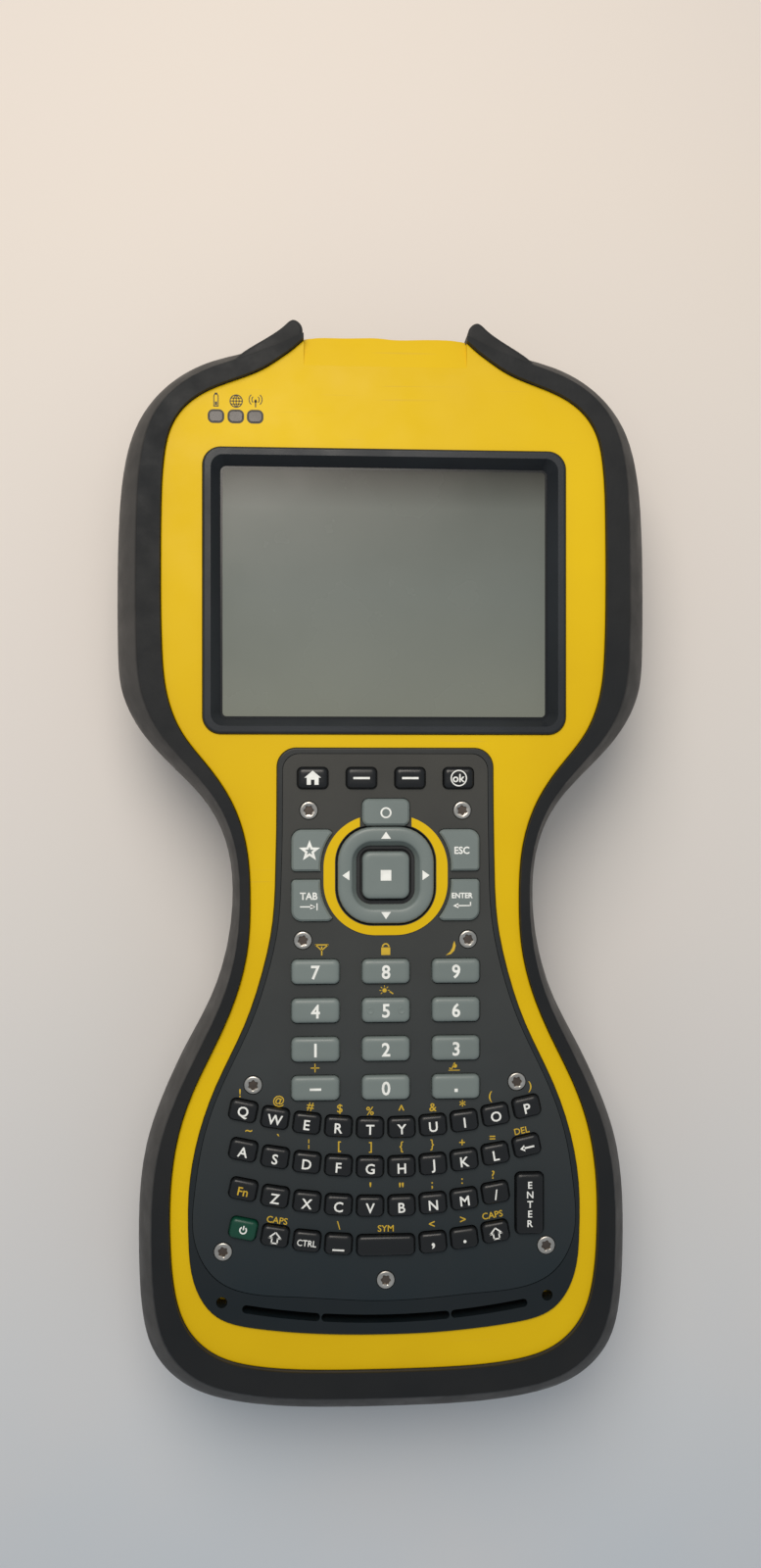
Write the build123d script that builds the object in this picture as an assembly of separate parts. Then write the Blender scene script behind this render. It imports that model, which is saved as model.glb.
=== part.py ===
"""Rugged hand-held data collector: a figure-of-eight case in a rubber bumper, with a touch screen above a
waisted keypad. It lies on its back: +Z out of the screen, +Y towards the top end, millimetres.
Every piece is modelled about the middle of the yellow face, and place() moves it to the row frame."""
from build123d import *
import math
import os

os.makedirs("parts", exist_ok=True)
PIECES = {}

# ---- overall sizes ----
CASE_W, CASE_L = 140.0, 279.6        # over the bumper, without its horns
Z_FACE = 45.5                        # yellow face, above the surface that the bumper rests on
BATTERY_W, BATTERY_L, BATTERY_T = 66.0, 66.0, 15.0
DOOR_Z, DOOR_T = 1.9, 2.0            # outside of the battery door, and its thickness

# ---- heights through the case ----
Z_BACK = 4.0                         # back wall of the rear housing
Z_SHOULDER = Z_FACE - 3.5            # top of the housing's side wall, under the bumper's lip
Z_CREST = Z_FACE + 1.3               # flat top of the bumper around the face
Z_KEYPLATE = Z_FACE + 0.7            # top of the keypad plate and of its frame
BAY_TOP = DOOR_Z + DOOR_T + BATTERY_T + 1.2
Z_SPLIT = BAY_TOP + 3.9              # parting plane of the two housings, above the battery bay's roof
WALL = 2.5                           # housing walls
FIT = 0.15               # clearance of a piece in its seat
CASE_SHARE = 0.45        # case wall's place between the face's edge and the widest line

# ---- driving sizes ----
GLASS_W, GLASS_H = 84.3, 64.5        # visible window of a 4.2 inch screen
OPENING_W, OPENING_H = GLASS_W + 3.7, GLASS_H + 3.5          # hole in the face for the screen
BEZEL_W, BEZEL_H, BEZEL_R = GLASS_W + 8.7, GLASS_H + 8.3, 4.6
SCREEN_Y = 68.5                      # centre of the screen above the origin of the face
KEY_TRAVEL = 0.8
KEY_FLANGE = 0.35                    # how far a key's flange reaches under the plate
KEY_GAP = 0.25                       # gap between a key and its hole
PLATE_T = 1.0
MAT_T, BOARD_T = 1.2, 1.5
LETTER_W, LETTER_H = 6.9, 5.2
LETTER_PITCH, ROW_PITCH = 8.03, 9.97
LETTER_ARC = 137.0                   # radius that the letter rows follow
FIRST_ROW_Y = -68.1
NUMBER_W, NUMBER_H = 12.2, 6.2
NUMBER_PITCH_X, NUMBER_PITCH_Y = 17.9, 9.85
NUMBER_TOP_Y = -28.3
NAV_Y = -3.8                         # centre of the navigation cluster
NAV_RING, NAV_HOLE, SELECT = 24.5, 17.0, 12.0
NAV_ROUND = NAV_RING / 2 - 3.25      # corner radius of the ring
NAV_TILT = 2.5                       # degrees that the ring rocks each way
TRIM_W, TRIM_H = NAV_RING + 7.2, NAV_RING + 6.1
TRIM_ROUND = TRIM_H / 2 - 1.9
SOFT_W, SOFT_H, SOFT_Y = 7.7, 5.3, 20.9
SIDE_KEY = 10.5                      # the four square keys beside the ring
SCREW_HEAD_R, SCREW_R = 2.3, 1.1
BATTERY_Y = BATTERY_L / 2 - 115.0    # its lower end stays beside the hinge
DOOR_MARGIN = 5.0                    # how far the battery door reaches past the battery on each side
STYLUS_R, STYLUS_L, STYLUS_X = 3.5, 100.0, 38.0
PORT_W, PORT_Z0, PORT_Z1 = 60.0, 8.0, 22.0
JACKSCREW_PITCH = 25.0               # 9-pin serial connector
STRETCH_X, STRETCH_Y = CASE_W / 140.0, CASE_L / 279.6        # of the outlines below, drawn at 140 by 279.6
HORN_X, HORN_TIP_Y = 20.9 * STRETCH_X, 137.4 * STRETCH_Y     # half the gap between the horns, and their tips

# Half outlines from the top centre round to the bottom centre: (x, y) of the yellow face's edge, and of the
# bumper's widest line at the same station.
DRAWN_STATIONS = [
    ((0, 133.9), (0, 134.8)), ((10, 133.9), (11, 134.8)), ((16, 133.9), (18, 134.8)),
    ((20.2, 133.1), (23, 134.5)), ((22.8, 131.0), (27, 133.5)), ((26.3, 128.3), (32, 132.8)),
    ((31.2, 125.1), (37.5, 131.9)),
    ((38.6, 122.0), (45.8, 129.8)), ((46.0, 118.9), (54.0, 125.6)), ((51.0, 115.2), (60.0, 120.3)),
    ((54.4, 110.2), (64.8, 113.2)), ((56.3, 102.5), (68.1, 102.5)), ((57.1, 88.0), (69.6, 88.0)),
    ((57.2, 69.0), (70.0, 69.0)), ((56.9, 54.0), (69.9, 54.5)), ((55.7, 42.5), (68.9, 44.0)),
    ((51.9, 32.5), (64.2, 33.8)), ((45.0, 23.5), (55.2, 23.6)), ((38.9, 14.0), (46.2, 13.8)),
    ((35.4, 2.5), (41.0, 2.2)), ((34.6, -10.0), (39.8, -10.5)), ((35.2, -22.0), (41.4, -23.8)),
    ((38.0, -34.0), (45.6, -37.0)), ((43.0, -46.0), (52.3, -50.0)), ((48.3, -56.9), (58.3, -63.0)),
    ((52.3, -68.0), (62.3, -75.0)), ((54.6, -82.0), (64.2, -90.0)), ((54.8, -97.0), (64.3, -105.0)),
    ((53.7, -109.0), (63.5, -118.0)), ((50.6, -118.4), (60.6, -128.8)), ((44.0, -125.2), (53.0, -137.2)),
    ((32.0, -129.0), (38.0, -142.6)), ((17.0, -130.2), (19.0, -144.5)), ((0, -130.4), (0, -144.8)),
]
STATIONS = [tuple((x * STRETCH_X, y * STRETCH_Y) for x, y in pair) for pair in DRAWN_STATIONS]
TOP_Y = STATIONS[0][0][1]            # top edge of the yellow face
Y_BOTTOM = STATIONS[-1][1][1]
ROW_SHIFT = -(HORN_TIP_Y + Y_BOTTOM) / 2
STYLUS_TIP_Y = TOP_Y - STYLUS_L - 16.9
# Keypad frame, right half, from the end of its straight top edge to the bottom centre.
KEYPAD_TOP_Y, KEYPAD_TOP_X, KEYPAD_TOP_R = 28.7, 27.8, 5.0
KEYPAD_SIDE = [
    (28.1, -2.0), (28.9, -16.0), (31.1, -27.0), (36.0, -41.9), (43.1, -57.0), (47.9, -71.0),
    (50.0, -84.0), (50.1, -96.0), (48.4, -108.0), (43.4, -115.5), (33.0, -119.0), (17.0, -120.7), (0, -121.2),
]
PLATE_INSET = 1.5
PLATE_BOTTOM = [(43.2, -106.0), (23.0, -111.0), (0, -112.4)]


def mixed(share, inset=0.0):
    """Closed outline between the face's edge (0) and the widest line (1), moved inwards by inset."""
    half = [(f[0] + share * (w[0] - f[0]), f[1] + share * (w[1] - f[1])) for f, w in STATIONS]
    return shifted(mirrored(half), inset)


def mirrored(half):
    """The whole outline from its right half, whose first and last points are on the centre line."""
    return half + [(-x, y) for x, y in reversed(half[1:-1])]


def shifted(points, inset):
    """Each point moved inwards along its normal; the points run clockwise."""
    moved = []
    for i, (x, y) in enumerate(points):
        (ax, ay), (bx, by) = points[i - 1], points[(i + 1) % len(points)]
        length = math.hypot(bx - ax, by - ay)
        moved.append((x + inset * (by - ay) / length, y - inset * (bx - ax) / length))
    return moved


def outline_face(points, z=0.0):
    return Face(Wire([Spline(*[(x, y, z) for x, y in points], periodic=True)]))


def prism(points, z0, z1):
    """Straight-walled solid of a smooth outline between two heights."""
    return extrude(outline_face(points, z0), z1 - z0, dir=(0, 0, 1))


def block(w, h, z0, z1, x=0.0, y=0.0, r=0.0):
    """Upright box with rounded corners, centred on (x, y)."""
    sketch = RectangleRounded(w, h, r) if r else Rectangle(w, h)
    return Pos(x, y, z0) * extrude(sketch, z1 - z0)


def rod(r, z0, z1, x=0.0, y=0.0):
    return Pos(x, y, z0) * extrude(Circle(r), z1 - z0)


def rod_y(r, y0, y1, x, z):
    """Cylinder along Y."""
    return Pos(x, y0, z) * Rot(-90, 0, 0) * extrude(Circle(r), y1 - y0)


def rod_x(r, x0, x1, y, z):
    """Cylinder along X."""
    return Pos(x0, y, z) * Rot(0, 90, 0) * extrude(Circle(r), x1 - x0)


def place(name, shape):
    """Moves a piece, or a list of separate solids, to the row frame and writes it."""
    solids = []
    for item in shape if isinstance(shape, (list, tuple)) else [shape]:
        solids += item.solids()
    moved = [s.moved(Location((0, ROW_SHIFT, 0))) for s in solids]
    export_step(moved[0] if len(moved) == 1 else Compound(children=moved), f"parts/{name}.step")
    PIECES[name] = moved


# ---- keypad outlines ----
def keypad_outline(inset=0.0, bottom=None):
    """Keypad frame's outline; with bottom, the plate's, which ends in a shallower arc."""
    top_y, top_x = KEYPAD_TOP_Y - inset, KEYPAD_TOP_X - inset
    r = KEYPAD_TOP_R - inset / 2
    side = [(x - inset, y) for x, y in KEYPAD_SIDE if x > 0]
    if bottom:
        deeper = inset - PLATE_INSET
        side = [(x, y) for x, y in side if y > -97] + [(max(x - deeper, 0), y + deeper) for x, y in bottom]
    else:
        side = [(x, y + (inset if y < -110 else 0)) for x, y in side]
        side = side + [(0, KEYPAD_SIDE[-1][1] + inset)]
    right = Spline(*[(top_x, top_y - r), *side], tangents=[(0, -1), (-1, 0)])
    end = side[-1]
    left = Spline(*[(-x, y) for x, y in reversed([(top_x, top_y - r), *side])], tangents=[(-1, 0), (0, 1)])
    arc_left = RadiusArc((-top_x, top_y - r), (-top_x + r, top_y), r)
    top = Line((-top_x + r, top_y), (top_x - r, top_y))
    arc_right = RadiusArc((top_x - r, top_y), (top_x, top_y - r), r)
    assert abs(end[0]) < 1e-9
    return make_face([right, left, arc_left, top, arc_right])


def keypad_prism(z0, z1, inset=0.0, bottom=None):
    return Pos(0, 0, z0) * extrude(keypad_outline(inset, bottom), z1 - z0)


# ---- where the keys and screws are ----
def letter_place(row, column):
    """Centre and turn of a letter key; columns run from -4.5 to 4.5 about the centre line."""
    x = column * LETTER_PITCH
    drop = LETTER_ARC - math.sqrt(LETTER_ARC ** 2 - x ** 2)
    turn = 0.8 * math.degrees(math.asin(x / LETTER_ARC))
    return x, FIRST_ROW_Y - row * ROW_PITCH + drop, turn


LETTER_COLUMNS = [i - 4.5 for i in range(10)]
MISSING_LETTERS = {(2, 4.5), (3, 4.5), (3, -0.5), (3, 0.5)}
CAMERA_KEY_W, CAMERA_KEY_H = 12.0, 6.7
CAMERA_KEY_Y = NAV_Y + NAV_RING / 2 + 0.45 + CAMERA_KEY_H / 2
TALL_ENTER = (36.9, -88.0, 7.2, 15.6)
SPACE_W = 14.8
NUMBER_NAMES = [["7", "8", "9"], ["4", "5", "6"], ["1", "2", "3"], ["minus", "0", "point"]]
SOFT_NAMES = ["start_key", "left_soft_key", "right_soft_key", "ok_key"]
SOFT_PITCH = 12.4
SCREWS = [(-19.6, 12.7), (19.6, 12.7), (-21.1, -20.3), (21.1, -20.3), (-33.7, -56.9), (33.7, -56.9),
          (-41.3, -99.0), (41.3, -99.0), (0, -107.0)]
Z_MAT = Z_KEYPLATE - PLATE_T - 0.1 - 0.5 - KEY_TRAVEL - 0.1   # top of the silicone mat
Z_BOARD = Z_MAT - MAT_T - 0.1
Z_TRAY = Z_BOARD - BOARD_T - 0.3                              # tray of the front housing, under the keypad
TRAY_T = 2.0


def key(w, h, r, rise, crown=0.7):
    """Key cap about the origin: a flange under the plate and a cap with a chamfered rim above it."""
    flange_top = Z_KEYPLATE - PLATE_T - 0.1
    cap = block(w, h, flange_top - 0.5, Z_KEYPLATE + rise, r=r)
    cap = chamfer(cap.faces().sort_by(Axis.Z)[-1].edges(), crown, crown * 0.6)
    flange = block(w + 2 * KEY_FLANGE, h + 2 * KEY_FLANGE, flange_top - 0.5, flange_top, r=r)
    return cap + flange


def key_hole(w, h, r):
    return block(w + 2 * KEY_GAP, h + 2 * KEY_GAP, Z_KEYPLATE - 3, Z_KEYPLATE + 3, r=r + KEY_GAP)


def side_key_shape(z0, z1, grow=0.0):
    """Square keys beside the ring, right column: two prisms whose inner side follows the trim ring."""
    ring = block(TRIM_W + 1.7 - 2 * grow, TRIM_H + 1.7 - 2 * grow, z0 - 1, z1 + 1, y=NAV_Y,
                 r=TRIM_ROUND + 0.8 - grow)
    keys = []
    for side in (1, -1):
        x, y, w = TRIM_W / 2 + 2.85, NAV_Y + side * (SIDE_KEY / 2 + 1.1), SIDE_KEY + 2 * grow
        outline = Pos(x, y) * Rectangle(w, w)
        for dy, r in ((side * w / 2, 2.6), (-side * w / 2, 1.0)):
            outline = fillet(outline.vertices().sort_by_distance(Vector(x + w / 2, y + dy))[0], r + grow)
        outline = fillet(outline.vertices().sort_by(Axis.X)[:2], 1.6 + grow)
        keys.append(Pos(0, 0, z0) * extrude(outline, z1 - z0) - ring)
    return keys


def camera_key_shape(z0, z1, grow=0.0):
    return block(CAMERA_KEY_W + 2 * grow, CAMERA_KEY_H + 2 * grow, z0, z1, y=CAMERA_KEY_Y, r=1.6 + grow)


# ---- case ----
CASE = mixed(CASE_SHARE)
HORN = [(x * STRETCH_X, y * STRETCH_Y) for x, y in
        [(38.0, 127.5), (31.9, 131.7), (28.1, 134.1), (25.7, 136.0), (23.6, 137.4), (21.6, 136.2),
         (21.3, 133.4), (24.0, 129.0), (31.2, 124.0), (37.5, 121.4)]]
BOSSES = [(50.6, 98.0), (28.0, -10.0), (44.0, -108.0)]       # case screws, right half
BOSS_R, CASE_SCREW_R, CASE_HEAD_R = 3.2, 1.4, 2.6
CASE_SCREW_TIP = Z_SPLIT + 10.0
SEAL_T = 0.8
CAP_W, CAP_Y0, CAP_Y1, CAP_Z0, CAP_Z1 = 2 * HORN_X - 0.6, TOP_Y - 7.5, TOP_Y + 0.3, 6.0, Z_SHOULDER - 0.2
FACE_T = 2.3
GLASS_TOP, GLASS_T = Z_FACE - 2.8, 1.8
LCD_T = 6.0
BEZEL_SEAT = 1.1
LED_PLACES = [(-43.1, 112.7), (-38.1, 112.7), (-33.2, 112.7)]
LED_W, LED_H = 3.2, 2.5
SLOT_R = 200.0                       # arc that the speaker slots follow
SLOT_Y, SLOT_W = -116.9, 2.2
SLOT_SPANS = [(-10.2, -5.1), (-4.4, 4.4), (5.1, 10.2)]       # degrees along that arc
MIC_PLACES = [(-41.6, -111.9), (41.6, -111.9)]
STYLUS_Z = Z_BACK + 1.5
STYLUS_GAP = 0.3
DOOR_W, DOOR_L = BATTERY_W + 2 * DOOR_MARGIN, BATTERY_L + 2 * DOOR_MARGIN
HINGE_Y, HINGE_Z = BATTERY_Y - DOOR_L / 2 - 1.6, 2.4
KNUCKLE_R, PIN_R = 1.5, 0.75
LATCH_X, LATCH_TRAVEL = 28.0, 4.0
LATCH_Y = BATTERY_Y + DOOR_L / 2 - 4.4
LATCH_W, LATCH_H, LATCH_LIP = 11.0, 6.4, 1.2
STRAP_Y = BATTERY_Y + DOOR_L / 2 + 10.0                      # lower strap bars, above the door
STRAP_BARS = [(-16, 58), (16, 58), (-16, STRAP_Y), (16, STRAP_Y)]
STRAP_Z = Z_BACK + 1.6
BAR_R, BAR_L = 1.3, 16.0
POCKET_W, POCKET_H, POCKET_TOP = 13.0, 9.0, 8.2
CAMERA = (-22.0, 100.0, 5.0)
FLASH = (-8.0, 100.0, 3.0)
PLATE_Y0 = CASE[len(STATIONS) - 1][1] + 0.68                 # outside of the connector plate
PLATE_Y1 = PLATE_Y0 + 2.8
PORT_Z = (PORT_Z0 + PORT_Z1) / 2
SERIAL_X, JACK_X, USB_X = -12.5, 9.5, 21.5
SOCKET_Y = PLATE_Y0 + 10.7           # back of the sockets
SERIAL_W, SERIAL_H = 17.4, 8.8
JACK_R = 4.0
USB_W, USB_H = 13.4, 6.0
FLAP_W, FLAP_H, FLAP_T = 16.0, 10.6, 1.9
FLAP_HINGE_Y, FLAP_HINGE_Z = PLATE_Y0 - 1.3, PORT_Z0 + 1.6
POST_R, POST_HOLE_R = 2.4, 1.5


def both_sides(places):
    return [(side * x, y) for x, y in places for side in (-1, 1)]


def bumper():
    """Rubber bumper: a lofted ring, two horns at the top end, and a lip that wraps the back."""
    levels = [(0, 0.35), (2.5, 0.66), (10, 0.88), (22, 0.98), (Z_CREST - 16.8, 1.0), (Z_CREST - 8.8, 0.89),
              (Z_CREST - 3.3, 0.66), (Z_CREST, 0.45)]
    ring = loft([outline_face(mixed(share), z) for z, share in levels])
    horn = prism(HORN, 8.0, Z_CREST - 0.3)
    horn = fillet(horn.faces().sort_by(Axis.Z)[-1].edges(), 0.8)
    ring = ring + horn + mirror(horn, about=Plane.YZ)
    ring -= prism(CASE, Z_BACK, Z_SHOULDER + 0.15)
    ring -= prism(mixed(0), Z_SHOULDER, Z_CREST + 2)
    ring -= prism(mixed(0, 3.0), -1, Z_BACK + 1) - block(2 * HORN_X + 30, 20, -2, Z_BACK + 2, y=CAP_Y0 + 8)
    ring -= block(2 * HORN_X, 30, Z_BACK, Z_CREST + 2, y=TOP_Y - 0.9)
    ring -= block(PORT_W + 4, 20, PORT_Z0 - 1, PORT_Z1 + 1, y=Y_BOTTOM + 8)
    ring -= rod_y(STYLUS_R + 0.8, TOP_Y - 33.9, TOP_Y + 16.1, STYLUS_X, STYLUS_Z)
    ring -= block(2 * STYLUS_R + 1.6, 50, -1, STYLUS_Z, x=STYLUS_X, y=TOP_Y - 8.9)
    return ring


def front_housing():
    """Yellow front half: face, screen opening, and a sealed tray that the keypad lies in."""
    side = mixed(CASE_SHARE, FIT)
    bottom = Z_SPLIT + SEAL_T / 2
    edge = prism(mixed(0, FIT), Z_SHOULDER - 1, Z_FACE)
    edge = fillet(edge.faces().sort_by(Axis.Z)[-1].edges(), 0.4)
    case = prism(side, bottom, Z_SHOULDER) + edge
    inside = prism(mixed(CASE_SHARE, FIT + WALL), bottom - 1, Z_SHOULDER - WALL)
    inside += prism(mixed(0, FIT + WALL), Z_SHOULDER - WALL - 0.5, Z_FACE - FACE_T)
    inside -= block(CAP_W + 5, 20, bottom - 2, Z_FACE, y=CAP_Y0 - WALL + 10)
    tray_z = Z_TRAY - TRAY_T
    inside -= keypad_prism(tray_z, Z_FACE, inset=-1.5)
    for x, y in both_sides(BOSSES):
        inside -= rod(BOSS_R, bottom, Z_FACE, x, y)
    for x, y in SCREWS:
        inside -= rod(SCREW_R + 1.2, tray_z - 3, Z_TRAY, x, y)
    case -= inside
    case -= keypad_prism(Z_TRAY, Z_FACE + 1)
    case -= block(OPENING_W, OPENING_H, Z_FACE - 4, Z_FACE + 1, y=SCREEN_Y, r=3.4)
    case -= block(BEZEL_W + 2 * FIT, BEZEL_H + 2 * FIT, Z_FACE - BEZEL_SEAT, Z_FACE + 1, y=SCREEN_Y,
                  r=BEZEL_R + FIT)
    case -= block(CAP_W + 2 * FIT, 20, 0, CAP_Z1 + FIT, y=CAP_Y0 - FIT + 10)
    for x, y in LED_PLACES:
        case -= block(LED_W + 0.2, LED_H + 0.2, Z_FACE - 4, Z_FACE + 1, x, y, r=1.0)
    for x, y in both_sides(BOSSES):
        case -= rod(CASE_SCREW_R + 0.1, bottom - 1, CASE_SCREW_TIP + 0.5, x, y)
    for x, y in SCREWS:
        case -= rod(SCREW_R + 0.1, tray_z - 1, Z_TRAY + 1, x, y)
    for slot in speaker_slots(tray_z - 1, Z_TRAY + 1):
        case -= slot
    roll = Box(2 * HORN_X, 40, 6, align=(Align.CENTER, Align.MIN, Align.CENTER))
    return case - Pos(0, CAP_Y0, Z_FACE + 3) * Rot(-14, 0, 0) * roll


def speaker_slots(z0, z1, width=SLOT_W):
    centre = (0, SLOT_Y + SLOT_R)
    return [Pos(0, 0, z0) * extrude(SlotArc(CenterArc(centre, SLOT_R, -90 + a, b - a), width), z1 - z0)
            for a, b in SLOT_SPANS]


def rear_housing():
    """Dark back half: battery bay, stylus channel, strap pockets, camera seats and the port window."""
    top = Z_SPLIT - SEAL_T / 2
    floor = Z_BACK + 3
    shell = prism(mixed(CASE_SHARE, FIT), Z_BACK, top)
    inside = prism(mixed(CASE_SHARE, FIT + WALL), floor, top + 1)
    inside -= block(CAP_W + 5, 20, Z_BACK, top + 2, y=CAP_Y0 - WALL + 10)
    inside -= block(BATTERY_W + 6, BATTERY_L + 6, Z_BACK, BAY_TOP + 2, y=BATTERY_Y, r=3)
    inside -= rod_y(STYLUS_R + 2.2, STYLUS_TIP_Y - 3, TOP_Y + 6.1, STYLUS_X, STYLUS_Z)
    for x, y in STRAP_BARS:
        inside -= block(POCKET_W + 5, POCKET_H + 4, Z_BACK, POCKET_TOP + 2, x, y)
    for x, y in both_sides(BOSSES):
        inside -= rod(BOSS_R, Z_BACK, top, x, y)
    shell -= inside
    shell -= block(BATTERY_W + 2, BATTERY_L + 2, Z_BACK - 1, BAY_TOP, y=BATTERY_Y, r=2)
    shell -= rod_y(STYLUS_R + STYLUS_GAP, STYLUS_TIP_Y - 0.5, TOP_Y + 16.1, STYLUS_X, STYLUS_Z)
    shell -= block(CAP_W + 2 * FIT, 20, CAP_Z0 - FIT, top + 1, y=CAP_Y0 - FIT + 10)
    shell -= block(PORT_W + 2 * FIT, 24, PORT_Z0 - FIT, PORT_Z1 + FIT, y=PLATE_Y1 - 11.4)
    for x, y in STRAP_BARS:
        shell -= block(POCKET_W, POCKET_H, Z_BACK - 1, POCKET_TOP, x, y, r=1.5)
        shell -= rod_x(BAR_R + 0.05, x - BAR_L / 2 - 0.1, x + BAR_L / 2 + 0.1, y, STRAP_Z)
    for x, y, r in (CAMERA, FLASH):
        shell -= rod(r + 0.1, Z_BACK - 1, Z_BACK + 1.2, x, y)
    for x, y in both_sides(BOSSES):
        shell -= rod(CASE_SCREW_R + 0.2, 0, top + 1, x, y)
        shell -= rod(CASE_HEAD_R + 0.2, 0, Z_BACK + 1.8, x, y)
    for side in (-1, 1):
        lug = rod_x(KNUCKLE_R, side * 22.3 - 2, side * 22.3 + 2, HINGE_Y, HINGE_Z)
        lug += block(4, 2 * KNUCKLE_R, HINGE_Z, Z_BACK + 0.5, x=side * 22.3, y=HINGE_Y)
        shell += lug
    return shell - rod_x(PIN_R + 0.05, -24.0, 24.0, HINGE_Y, HINGE_Z)


def antenna_cap():
    depth = CAP_Y1 - CAP_Y0
    cap = block(CAP_W, depth, CAP_Z0, CAP_Z1, y=(CAP_Y0 + CAP_Y1) / 2)
    cap = fillet(cap.faces().sort_by(Axis.Y)[-1].edges().filter_by(Axis.X), 1.2)
    return cap - block(CAP_W - 5, depth, CAP_Z0 + WALL, CAP_Z1 - WALL, y=(CAP_Y0 + CAP_Y1) / 2 - WALL)


def case_seal():
    """Flat seal between the housings; it passes inside the cap's pocket at the top end."""
    z0, z1 = Z_SPLIT - SEAL_T / 2, Z_SPLIT + SEAL_T / 2
    rim = prism(mixed(CASE_SHARE, FIT + 0.6), z0, z1)
    rim -= block(CAP_W + 1.6, 20, z0 - 1, z1 + 1, y=CAP_Y0 - 0.8 + 10)
    inner = prism(mixed(CASE_SHARE, FIT + 1.9), z0 - 1, z1 + 1)
    return rim - (inner - block(CAP_W + 4.2, 20, z0 - 2, z1 + 2, y=CAP_Y0 - 2.1 + 10))


# ---- screen ----
def display_bezel():
    flange = block(BEZEL_W, BEZEL_H, Z_FACE - BEZEL_SEAT + 0.1, Z_FACE + 0.9, y=SCREEN_Y, r=BEZEL_R)
    flange = fillet(flange.faces().sort_by(Axis.Z)[-1].edges(), 0.7)
    frame = flange + block(OPENING_W - 0.4, OPENING_H - 0.4, GLASS_TOP + 0.1, Z_FACE, y=SCREEN_Y, r=3.2)
    low = Pos(0, SCREEN_Y, GLASS_TOP) * RectangleRounded(GLASS_W, GLASS_H, 1.5)
    high = Pos(0, SCREEN_Y, Z_FACE + 1.0) * RectangleRounded(GLASS_W + 4.6, GLASS_H + 4.4, 3.2)
    return frame - loft([low, high])


def touch_panel():
    return block(GLASS_W + 6, GLASS_H + 6, GLASS_TOP - GLASS_T, GLASS_TOP, y=SCREEN_Y, r=1)


def display_gasket():
    gasket = block(GLASS_W + 6, GLASS_H + 6, GLASS_TOP, Z_FACE - FACE_T, y=SCREEN_Y, r=1)
    return gasket - block(OPENING_W + 0.4, OPENING_H + 0.4, GLASS_TOP - 1, Z_FACE, y=SCREEN_Y, r=1)


def lcd_module():
    top = GLASS_TOP - GLASS_T - 0.2
    body = block(GLASS_W + 6.7, GLASS_H + 5.5, top - LCD_T, top, y=SCREEN_Y, r=1)
    return body - block(GLASS_W + 1, GLASS_H - 0.5, top - 0.6, top + 1, y=SCREEN_Y)


# ---- keypad ----
def keypad_frame():
    """Dark frame that seats the keypad plate, with the speaker slots below it."""
    z0 = Z_TRAY + 0.1
    body = keypad_prism(z0, Z_KEYPLATE, inset=FIT)
    body = fillet(body.faces().sort_by(Axis.Z)[-1].edges(), 0.4)
    body -= keypad_prism(Z_KEYPLATE - PLATE_T - 0.05, Z_KEYPLATE + 1, inset=PLATE_INSET, bottom=PLATE_BOTTOM)
    body -= keypad_prism(z0 - 1, Z_KEYPLATE, inset=PLATE_INSET + 1.3, bottom=PLATE_BOTTOM)
    for slot in speaker_slots(z0 - 1, Z_KEYPLATE + 1, SLOT_W - 0.1):
        body -= slot
    for x, y in MIC_PLACES:
        body -= rod(1.4, z0 - 1, Z_KEYPLATE + 1, x, y)
    return body


def plate_cuts():
    """Every hole in the keypad plate."""
    cuts = []
    for row in range(4):
        for column in LETTER_COLUMNS:
            if (row, column) in MISSING_LETTERS:
                continue
            x, y, turn = letter_place(row, column)
            cuts.append(Pos(x, y, 0) * Rot(0, 0, turn) * key_hole(LETTER_W, LETTER_H, 1.3))
    for x, y, w, h in (TALL_ENTER, (0, FIRST_ROW_Y - 3 * ROW_PITCH, SPACE_W, LETTER_H)):
        cuts.append(Pos(x, y, 0) * key_hole(w, h, 1.3))
    for row in range(4):
        for column in range(3):
            cuts.append(Pos(*number_place(row, column), 0) * key_hole(NUMBER_W, NUMBER_H, 1.4))
    for column in range(4):
        cuts.append(Pos(soft_x(column), SOFT_Y, 0) * key_hole(SOFT_W, SOFT_H, 1.2))
    for cut in side_key_shape(Z_KEYPLATE - 3, Z_KEYPLATE + 3, KEY_GAP):
        cuts += [cut, mirror(cut, about=Plane.YZ)]
    cuts.append(camera_key_shape(Z_KEYPLATE - 3, Z_KEYPLATE + 3, KEY_GAP))
    cuts.append(block(NAV_RING + 1, NAV_RING + 1, Z_KEYPLATE - 3, Z_KEYPLATE + 3, y=NAV_Y,
                      r=NAV_ROUND + 0.5))
    for x, y in SCREWS:
        cuts.append(rod(SCREW_R + 0.1, Z_KEYPLATE - 3, Z_KEYPLATE + 3, x, y))
        cuts.append(rod(SCREW_HEAD_R + 0.15, Z_KEYPLATE - 0.55, Z_KEYPLATE + 3, x, y))
    return cuts


def soft_x(column):
    return (column - 1.5) * SOFT_PITCH


def number_place(row, column):
    return (column - 1) * NUMBER_PITCH_X, NUMBER_TOP_Y - row * NUMBER_PITCH_Y


def keypad_plate():
    plate = keypad_prism(Z_KEYPLATE - PLATE_T, Z_KEYPLATE, inset=PLATE_INSET + FIT, bottom=PLATE_BOTTOM)
    return plate - plate_cuts()


def keypad_mat():
    mat = keypad_prism(Z_MAT - MAT_T, Z_MAT, inset=PLATE_INSET + 1.6, bottom=PLATE_BOTTOM)
    return mat - [rod(SCREW_R + 0.4, Z_MAT - 3, Z_MAT + 1, x, y) for x, y in SCREWS]


def keypad_board():
    board = keypad_prism(Z_BOARD - BOARD_T, Z_BOARD, inset=PLATE_INSET + 1.6, bottom=PLATE_BOTTOM)
    return board - [rod(SCREW_R + 0.2, Z_BOARD - 3, Z_BOARD + 1, x, y) for x, y in SCREWS]


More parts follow.
